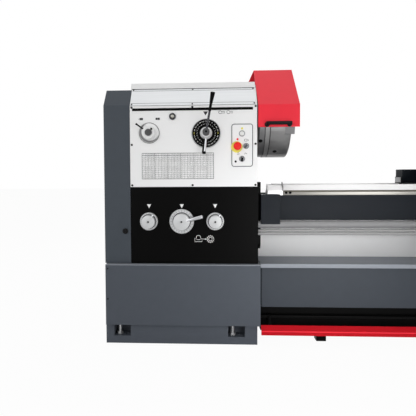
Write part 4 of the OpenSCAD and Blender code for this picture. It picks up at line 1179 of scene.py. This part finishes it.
@dataclass
class Prints:
    """The printed marks on the white plate and on the black front, without words."""

    table_low: tuple[float, float] = (-321.0, 835.0)
    table_high: tuple[float, float] = (37.0, 963.0)
    pitches: tuple[float, ...] = (0.5, 0.75, 1.0, 1.25, 1.5, 1.75, 2.0, 2.5, 3.0, 3.5, 4.0)

    def build(self) -> None:
        """Prints the table, the triangles and the pictograms."""
        self.table()
        self.front_marks()
        self.plate_marks()

    def table(self) -> None:
        """Prints the grid of feeds and pitches, in plain numbers."""
        ink = Shape()
        (x0, z0), (x1, z1) = self.table_low, self.table_high
        columns, rows = 2 * len(self.pitches), 12
        wide, tall = (x1 - x0) / columns, (z1 - z0) / rows
        for i in range(columns + 1):
            heavy = 2.0 if i % 4 == 0 or i == columns else 1.0
            ink.ribbon([(x0 + i * wide, z0), (x0 + i * wide, z1)], heavy, 0.0, PRINT_T)
        for i in range(rows + 1):
            heavy = 2.2 if i in (0, rows - 1, rows) else 1.0
            ink.ribbon([(x0, z0 + i * tall), (x1, z0 + i * tall)], heavy, 0.0, PRINT_T)
        for row in range(rows):
            for column in range(columns):
                pitch = self.pitches[column // 2] * (1 + row // 2) / (1 + column % 2)
                spot = Matrix.Translation((x0 + (column + 0.5) * wide, z0 + (row + 0.5) * tall, PRINT_T / 2))
                ink.join(digits(f"{pitch:.3g}", 7.0), spot)
        ink.piece("feed_table", Finishes.DARK_INK, "frame", facing=Facing.FRONT)

    def front_marks(self) -> None:
        """Prints the triangles over the knobs and the carriage-and-gear pictogram."""
        ink = Shape()
        for x in (-288.0, -123.0, 44.0):
            ink.slab([(x - 10.5, 707.5), (x, 687.5), (x + 10.5, 707.5)], 0.0, PRINT_T)
        body = [(-58, 519), (-22, 519), (-22, 536), (-30, 536), (-30, 546), (-36, 550), (-44, 550),
                (-50, 546),
                (-50, 536), (-58, 536)]
        ink.ribbon(body, 2.0, 0.0, PRINT_T, closed=True)
        ink.ribbon([(-50, 529), (-30, 529)], 2.0, 0.0, PRINT_T)
        ink.ribbon([(-16, 532), (-6, 532)], 2.0, 0.0, PRINT_T)
        ink.slab([(-6, 527.5), (-6, 536.5), (1, 532)], 0.0, PRINT_T)
        ink.ribbon(arc(20, 532, 9.0, 0, 345, 24), 2.2, 0.0, PRINT_T)
        ink.ribbon(arc(20, 532, 15.5, 0, 345, 24), 2.0, 0.0, PRINT_T)
        for i in range(12):
            out = outward(i * 30).xy
            ink.ribbon([Vector((20, 532)) + out * 15.0, Vector((20, 532)) + out * 19.0], 3.4, 0.0, PRINT_T)
        ink.piece("feed_symbols", Finishes.WHITE_INK, "frame", facing=Facing.FRONT)

    def plate_marks(self) -> None:
        """Prints the small marks round the levers on the white plate."""
        dark = Shape()
        dark.slab([(-14.5, 1168.0), (-2.5, 1148.0), (9.5, 1168.0)], 0.0, PRINT_T)
        dark.slab([(-332.0, 1128.5), (-315.0, 1128.5), (-315.0, 1139.5), (-332.0, 1139.5)], 0.0, PRINT_T)
        dark.ribbon([(-338.5, 1134.0), (-334.5, 1134.0)], 2.4, 0.0, PRINT_T)
        for x in (-246.5, -235.5):
            dark.slab([(x - 5.0, 1129.0), (x + 5.0, 1129.0), (x + 5.0, 1139.5), (x - 5.0, 1139.5)], 0.0,
                      PRINT_T)
        dark.piece("plate_marks", Finishes.DARK_INK, "frame", facing=Facing.FRONT)
        grey = Shape()
        for x in (74.0, 114.0):
            grey.ribbon(arc(x - 4, 1163, 7.5, 20, 340), 2.2, 0.0, PRINT_T)
            grey.ribbon([(x + 4, 1159), (x + 18, 1159), (x + 18, 1167), (x + 4, 1167)], 2.2, 0.0, PRINT_T)
        grey.piece("range_symbols", Finishes.GREY_INK, "frame", facing=Facing.FRONT)


def sight_glass(prefix: str, body: str, at: tuple[float, float, float]) -> None:
    """Builds a round oil sight glass that looks forwards.

    Args:
        prefix: What its pieces' names start with.
        body: The body it rides on.
        at: Its place, in millimetres.
    """
    ring = Shape().turned([(9.0, 0.2), (17.0, 0.2), (17.0, 5.0), (15.5, 8.0), (12.5, 9.0), (9.5, 7.0),
                           (9.0, 5.0), (9.0, 0.2)], 48)
    ring.piece(prefix + "_ring", Finishes.DARK_CHROME, body, at, Facing.FRONT)
    glass = Shape().turned([(0, 2.0), (9.0, 2.0), (9.0, 5.0), (5.0, 6.6), (0, 7.0)], 48)
    glass.piece(prefix + "_glass", Finishes.GLASS, body, at, Facing.FRONT)
    oil = Shape().slab(arc(0, 0, 8.6, 200, 340), 5.2, 6.0)
    oil.piece(prefix + "_oil", Finishes.OIL, body, at, Facing.FRONT)


@dataclass
class Controls:
    """Everything that the operator reads or works on the headstock's front."""

    def build(self) -> None:
        """Dresses the controls."""
        parts = (Dial(), ReverseLever(), PushPanel(), Prints(),
                 FeedKnob("feed_knob_left", -288.0, 45.0, 33.0, 55.0, 44.0, 4.6),
                 FeedKnob("feed_knob_middle", -123.0, 61.5, 41.0, 14.0, 108.0, 8.5, teeth=76),
                 FeedKnob("feed_knob_right", 44.0, 44.0, 32.0, 55.0, 43.0, 4.6))
        for part in parts:
            part.build()
        sight_glass("sight", "frame", (-167.0, 0.0, 1145.0))
        self.latch()

    def latch(self) -> None:
        """Builds the end cover's round latch."""
        at = (-409.0, 0.0, 572.0)
        knob = Shape().turned([(0, -20.0), (7.8, -20.0), (7.8, 0.6), (14.0, 0.6), (14.0, 6.0), (12.5, 7.8),
                               (0, 7.8)], 48)
        knob.box((-2.6, -11.8, 7.0), (2.6, 11.8, 13.8), 0.8)
        knob.piece("latch_knob", Finishes.BLACK_PLASTIC, "cover_latch", at, Facing.FRONT,
                   replaces=("cover_latch",))


def index_ring(node: str, at: tuple[float, float, float], facing: Facing, radius: float) -> None:
    """Puts a graduated ring round the hub of a hand wheel or a crank.

    Args:
        node: The CAD node of the wheel or the crank.
        at: The middle of its hub's back, in millimetres.
        facing: Which way it faces.
        radius: The hub's radius.
    """
    low, high, r, lines = 3.0, 20.0, radius + 0.5, 40
    ring = Shape().turned([(radius - 1.0, low), (r, low), (r, high), (radius - 1.0, high),
                           (radius - 1.0, low)], 64)
    ring.piece(node + "_index_ring", Finishes.RING, body_of(node), at, facing)
    ticks = Shape()
    for i in range(lines):
        out = outward(i * 360 / lines) * (r + 0.1)
        reach = 8.0 if i % 5 == 0 else 4.5
        ticks.rod(out + Vector((0, 0, high - reach)), out + Vector((0, 0, high)), 0.45, steps=6)
    ticks.piece(node + "_index_lines", Finishes.WHITE_INK, body_of(node), at, facing)


def grip(node: str, at: tuple[float, float, float], facing: Facing, angle: float, reach: float, low: float,
         high: float, radius: float) -> None:
    """Puts a black barrel grip on the handle of a hand wheel or a crank.

    Args:
        node: The CAD node of the wheel or the crank.
        at: The middle of its hub's back, in millimetres.
        facing: Which way it faces.
        angle: Degrees from its right to the handle.
        reach: The handle's distance from the middle.
        low: Height of the grip's foot.
        high: Height of the grip's end.
        radius: The grip's largest radius.
    """
    barrel = Shape().turned([(0, low), (radius * 0.97, low), (radius, low + 0.3 * (high - low)),
                             (radius, high - 0.3 * (high - low)), (radius * 0.96, high - 2.0),
                             (radius * 0.9, high), (0, high)], 40)
    placed = Shape().join(barrel, Matrix.Translation(outward(angle) * reach))
    placed.piece(node + "_grip", Finishes.BLACK_PLASTIC, body_of(node), at, facing)


@dataclass
class Carriage:
    """Saddle, apron, slides and tool post, with their wipers, rings, grips and sight glass."""

    wiper_t: float = 5.0
    apron_wheel: tuple[float, float, float] = (1230.0, -71.0, 700.0)
    cross_screw: tuple[float, float, float] = (1330.0, -61.0, 838.0)
    top_screw: tuple[float, float, float] = (1521.0, 60.0, 1020.0)

    def build(self) -> None:
        """Dresses the carriage."""
        rounded_copy("saddle", Finishes.BED, 3.0)
        rounded_copy("apron", Finishes.CABINET, 6.0, 3)
        rounded_copy("cross_slide", Finishes.SLIDE, 2.0)
        rounded_copy("top_slide", Finishes.SLIDE, 2.0)
        rounded_copy("tool_post", Finishes.STEEL, 1.5)
        self.wipers()
        wheels = (("apron_handwheel", self.apron_wheel, Facing.FRONT, 26.0, (35.0, 90.0, 42.0, 118.0, 13.0)),
                  ("cross_handle", self.cross_screw, Facing.FRONT, 30.0, (30.0, 50.0, 54.0, 104.0, 11.0)),
                  ("top_handle", self.top_screw, Facing.RIGHT, 30.0, (0.0, 50.0, 54.0, 104.0, 11.0)))
        for node, at, facing, hub_r, handle in wheels:
            paint_node(node, Finishes.CHROME)
            index_ring(node, at, facing, hub_r)
            grip(node, at, facing, *handle)
        sight_glass("apron_sight", body_of("apron"), (1440.0, -70.0, 585.0))
        screws = Shape()
        for x in (1172.0, 1488.0):
            for z in (526.0, 776.0):
                screws.rod((x, -69.5, z), (x, -72.4, z), 6.2, 6.0, 24, 0.8)
        for x in (1160.0, 1500.0):
            for y in (-34.0, 122.0):
                screws.rod((x, y, 879.5), (x, y, 883.0), 9.0, 8.8, 28, 1.0)
        screws.piece("saddle_and_apron_screws", Finishes.BLACK, body_of("saddle"))

    def wipers(self) -> None:
        """Fits felt wipers to both ends of the saddle, cut to the ways."""
        low, high = DATUM.box("saddle")
        crest = DATUM.box("gap_bridge")[1].z + 3.6
        front = [(54, 838), (152, 838), (152, 775), (121.6, 775), (100.6, crest), (89.4, crest), (68.4, 775),
                 (54, 775)]
        rear = [(396, 838), (478, 838), (478, 775), (467.6, 775), (467.6, crest), (422.4, crest),
                (422.4, 775),
                (396, 775)]
        felt, plates = Shape(), Shape()
        for outline in (front, rear):
            for x, side in ((low.x, -1), (high.x, 1)):
                felt.slab(outline, x, x + side * self.wiper_t)
            y0, y1 = outline[0][0] + 3.0, outline[1][0] - 3.0
            for x, side in ((low.x - self.wiper_t, -1), (high.x + self.wiper_t, 1)):
                plates.slab([(y0, 835), (y1, 835), (y1, crest + 4), (y0, crest + 4)], x, x + side * 1.2)
        felt.piece("way_wipers", Finishes.RUBBER, body_of("saddle"), facing=Facing.RIGHT)
        plates.piece("wiper_plates", Finishes.SATIN_DARK, body_of("saddle"), facing=Facing.RIGHT)


@dataclass
class Tailstock:
    """Tailstock casting, quill and hand wheel, with the seam of its two halves and its fittings."""

    wheel: tuple[float, float, float] = (2181.0, SPINDLE_Y, SPINDLE_Z)
    length: float = 350.0
    seam_z: float = 836.0
    base_top: float = 860.0

    def build(self) -> None:
        """Dresses the tailstock."""
        rounded_copy("tailstock", Finishes.BED, 3.0)
        paint_node("quill", Finishes.STEEL)
        paint_node("tail_handwheel", Finishes.CHROME)
        index_ring("tail_handwheel", self.wheel, Facing.RIGHT, 28.0)
        grip("tail_handwheel", self.wheel, Facing.RIGHT, 60.0, 99.0, 98.0, 184.0, 14.0)
        body, right = body_of("tailstock"), self.wheel[0] - 1.0
        left = right - self.length
        seam = Shape().slab(round_corners((left - 0.3, 61.7), (right + 0.3, 480.3), 3.2), self.seam_z,
                            self.seam_z + 2.2)
        seam.piece("tailstock_seam", Finishes.RUBBER, body)
        nuts = Shape()
        for x in (left + 60.0, right - 60.0):
            nuts.rod((x, 86.0, self.base_top - 0.5), (x, 86.0, self.base_top + 3.0), 17.0, 17.0, 32, 0.8)
            nuts.rod((x, 86.0, self.base_top + 2.5), (x, 86.0, self.base_top + 15.0), 13.5, 13.5, 6, 1.0)
        nuts.rod((left + 210.0, SPINDLE_Y, 1232.0), (left + 210.0, SPINDLE_Y, 1240.0), 7.0, 6.0, 24, 1.0)
        nuts.piece("tailstock_nuts", Finishes.GREY_IRON, body)
        scale = Shape().box((right - 0.1, 206.0, self.seam_z - 16.0),
                            (right + 1.2, 274.0, self.seam_z + 16.0), 0.4)
        scale.piece("offset_scale", Finishes.BRIGHT, body)
        lines = Shape()
        for i in range(-6, 7):
            reach = 10.0 if i % 3 == 0 else 6.0
            lines.box((right + 1.1, 239.6 + i * 5, self.seam_z + 3.0),
                      (right + 1.4, 240.4 + i * 5, self.seam_z + 3 + reach))
        lines.piece("offset_scale_lines", Finishes.DARK_INK, body)


@dataclass
class Feed:
    """Lead screw, feed rod, control rod and foot brake."""

    brake_left: float = 269.0
    brake_right: float = 1880.0

    def build(self) -> None:
        """Dresses the feed's parts."""
        paint_node("lead_screw", Finishes.THREAD)
        paint_node("feed_rod", Finishes.BAR)
        paint_node("control_rod", Finishes.BAR)
        self.brake_bar()

    def brake_bar(self) -> None:
        """Builds the foot brake: a folded red bar on two black arms and their shaft."""
        bar = Shape().slab([(-28.0, 107.0), (-48.0, 89.0), (-48.0, 62.0), (-45.0, 62.0), (-45.0, 87.5),
                            (-26.0, 104.6)],
                           self.brake_left, self.brake_right, 0.5)
        bar.piece("brake_bar", Finishes.FOOT_RED, "brake_pedal", facing=Facing.RIGHT,
                  replaces=("brake_pedal",))
        # A strip of the brighter guard red along the bar's front face: a painted highlight on the darker foot
        # red.
        painted_highlight = Shape().box((self.brake_left + 1, -48.3, 79.0), (self.brake_right - 1, -47.9, 84.5))
        painted_highlight.piece("brake_bar_worn_line", Finishes.RED, "brake_pedal")
        arms = Shape().rod((257.0, 15.0, 140.0), (1910.0, 15.0, 140.0), 8.0, steps=32)
        for x in (self.brake_left + 40.0, self.brake_right - 60.0):
            arm = Shape().slab([(25.0, 150.0), (25.0, 128.0), (-43.8, 81.0), (-44.6, 88.0), (-27.0, 104.0),
                                (3.0, 150.0)], x, x + 12.0, 1.0)
            arms.join(arm, Facing.RIGHT.matrix())
        arms.piece("brake_arms", Finishes.BLACK, "brake_pedal")


def seen_directly(tree: bpy.types.NodeTree) -> bpy.types.NodeSocket:
    """Marks the rays that show a surface as it is: to the camera, in reflections and through glass.

    Args:
        tree: The node tree of the floor or of the world.

    Returns:
        A socket that is 1 on those rays and 0 on the others.
    """
    seen = add_node(tree, "ShaderNodeLightPath")
    mirrored = add_node(tree, "ShaderNodeMath", {0: seen.outputs["Is Glossy Ray"],
                                                 1: seen.outputs["Is Transmission Ray"]}, operation="MAXIMUM")
    plain = add_node(tree, "ShaderNodeMath", {0: seen.outputs["Is Camera Ray"], 1: mirrored.outputs[0]},
                     operation="MAXIMUM")
    return plain.outputs[0]


@dataclass(frozen=True)
class Lamp:
    """A soft square lamp: where it hangs and the point it faces, both in millimetres."""

    name: str
    place: tuple[float, float, float]
    target: tuple[float, float, float]
    watts: float
    side_m: float
    spread_deg: float = 180.0

    def hang(self) -> None:
        """Hangs the lamp in the scene."""
        data = bpy.data.lights.new(self.name, "AREA")
        data.energy = self.watts
        data.size = self.side_m
        data.spread = math.radians(self.spread_deg)
        lamp = bpy.data.objects.new(self.name, data)
        place, target = DATUM.at(*self.place), DATUM.at(*self.target)
        lamp.location = place
        lamp.rotation_euler = (target - place).to_track_quat("-Z", "Y").to_euler()
        bpy.context.scene.collection.objects.link(lamp)


@dataclass
class Studio:
    """Floor, surround, lamps and camera."""

    camera_y: float = -2250.0
    camera_z: float = 847.0
    yaw: float = 3.092
    pitch: float = 2.627
    roll: float = 0.313
    lens_mm: float = 38.94
    sensor_mm: float = 36.0
    far_m: float = 100.0
    shift: tuple[float, float] = (0.0625, -0.0264)
    floor_m: float = 30.0
    floor_gap_m: float = 0.0005
    glow: float = 0.96
    surround: float = 0.35
    lamps: tuple[Lamp, ...] = (
        Lamp("key", (-1700, -2300, 1700), (-200, 0, 900), 25.0, 2.2),
        Lamp("fill", (2200, -3000, 2000), (200, 100, 700), 11.5, 2.6),
        Lamp("low", (900, -1500, 480), (480, 270, 500), 2.6, 0.9, 70.0),
        Lamp("top", (400, 600, 3600), (400, 200, 700), 18.5, 3.0),
        Lamp("back", (1000, 3800, 2600), (600, 200, 700), 36.5, 2.6),
    )

    def build(self) -> None:
        """Sets the floor, the world, the lamps and the camera."""
        self.floor()
        self.world()
        for lamp in self.lamps:
            lamp.hang()
        self.camera()

    def floor(self) -> None:
        """Lays a pale floor that shows white but keeps the lathe's shadow."""
        mesh = bpy.data.meshes.new("floor")
        bm = bmesh.new()
        bmesh.ops.create_grid(bm, x_segments=1, y_segments=1, size=self.floor_m)
        bmesh.ops.translate(bm, vec=(0, 0, -self.floor_gap_m), verts=bm.verts)
        bm.to_mesh(mesh)
        bm.free()
        floor = bpy.data.objects.new("floor", mesh)
        bpy.context.scene.collection.objects.link(floor)
        made = bpy.data.materials.new("pale_floor")
        made.use_nodes = True
        tree = made.node_tree
        tree.nodes.remove(tree.nodes["Principled BSDF"])
        matt = add_node(tree, "ShaderNodeBsdfDiffuse")
        matt.inputs["Color"].default_value = srgb("F2F2F2")
        glow = add_node(tree, "ShaderNodeEmission")
        part = add_node(tree, "ShaderNodeMath", {0: seen_directly(tree)}, operation="MULTIPLY")
        part.inputs[1].default_value = self.glow
        mix = add_node(tree, "ShaderNodeMixShader",
                       {0: part.outputs[0], 1: matt.outputs[0], 2: glow.outputs[0]})
        tree.links.new(mix.outputs[0], tree.nodes["Material Output"].inputs["Surface"])
        mesh.materials.append(made)

    def world(self) -> None:
        """Gives a soft grey surround that shows white to the camera and in reflections."""
        scene = bpy.context.scene
        world = bpy.data.worlds.new("studio")
        scene.world = world
        world.use_nodes = True
        tree = world.node_tree
        level = add_node(tree, "ShaderNodeMapRange", {"Value": seen_directly(tree)}, To_Min=self.surround,
                         To_Max=1.0)
        tree.links.new(level.outputs["Result"], tree.nodes["Background"].inputs["Strength"])
        tree.nodes["Background"].inputs["Color"].default_value = (1.0, 1.0, 1.0, 1.0)
        scene.view_settings.view_transform = "Standard"

    def camera(self) -> None:
        """Sets the camera in front of the headstock's right, a little above its middle."""
        yaw, pitch, roll = (math.radians(a) for a in (self.yaw, self.pitch, self.roll))
        ahead = Vector((-math.sin(yaw) * math.cos(pitch), math.cos(yaw) * math.cos(pitch), -math.sin(pitch)))
        right = ahead.cross(Vector((0, 0, 1))).normalized()
        down = ahead.cross(right)
        tilted_right = math.cos(roll) * right + math.sin(roll) * down
        tilted_down = -math.sin(roll) * right + math.cos(roll) * down
        data = bpy.data.cameras.new("camera")
        data.lens = self.lens_mm
        data.sensor_width = self.sensor_mm
        data.shift_x, data.shift_y = self.shift
        data.clip_end = self.far_m
        camera = bpy.data.objects.new("camera", data)
        turn = Matrix((tilted_right, -tilted_down, -ahead)).transposed().to_4x4()
        camera.matrix_world = Matrix.Translation(DATUM.at(0, self.camera_y, self.camera_z)) @ turn
        bpy.context.scene.collection.objects.link(camera)
        bpy.context.scene.camera = camera


def main() -> None:
    """Builds the lathe's looks, then the studio."""
    for part in (Structure(), ElectricalCabinet(), Headstock(), Spindle(), Controls(), Feed(), Carriage(),
                 Tailstock(),
                 Studio()):
        log.info("building %s", type(part).__name__)
        part.build()


if __name__ == "__main__":
    main()
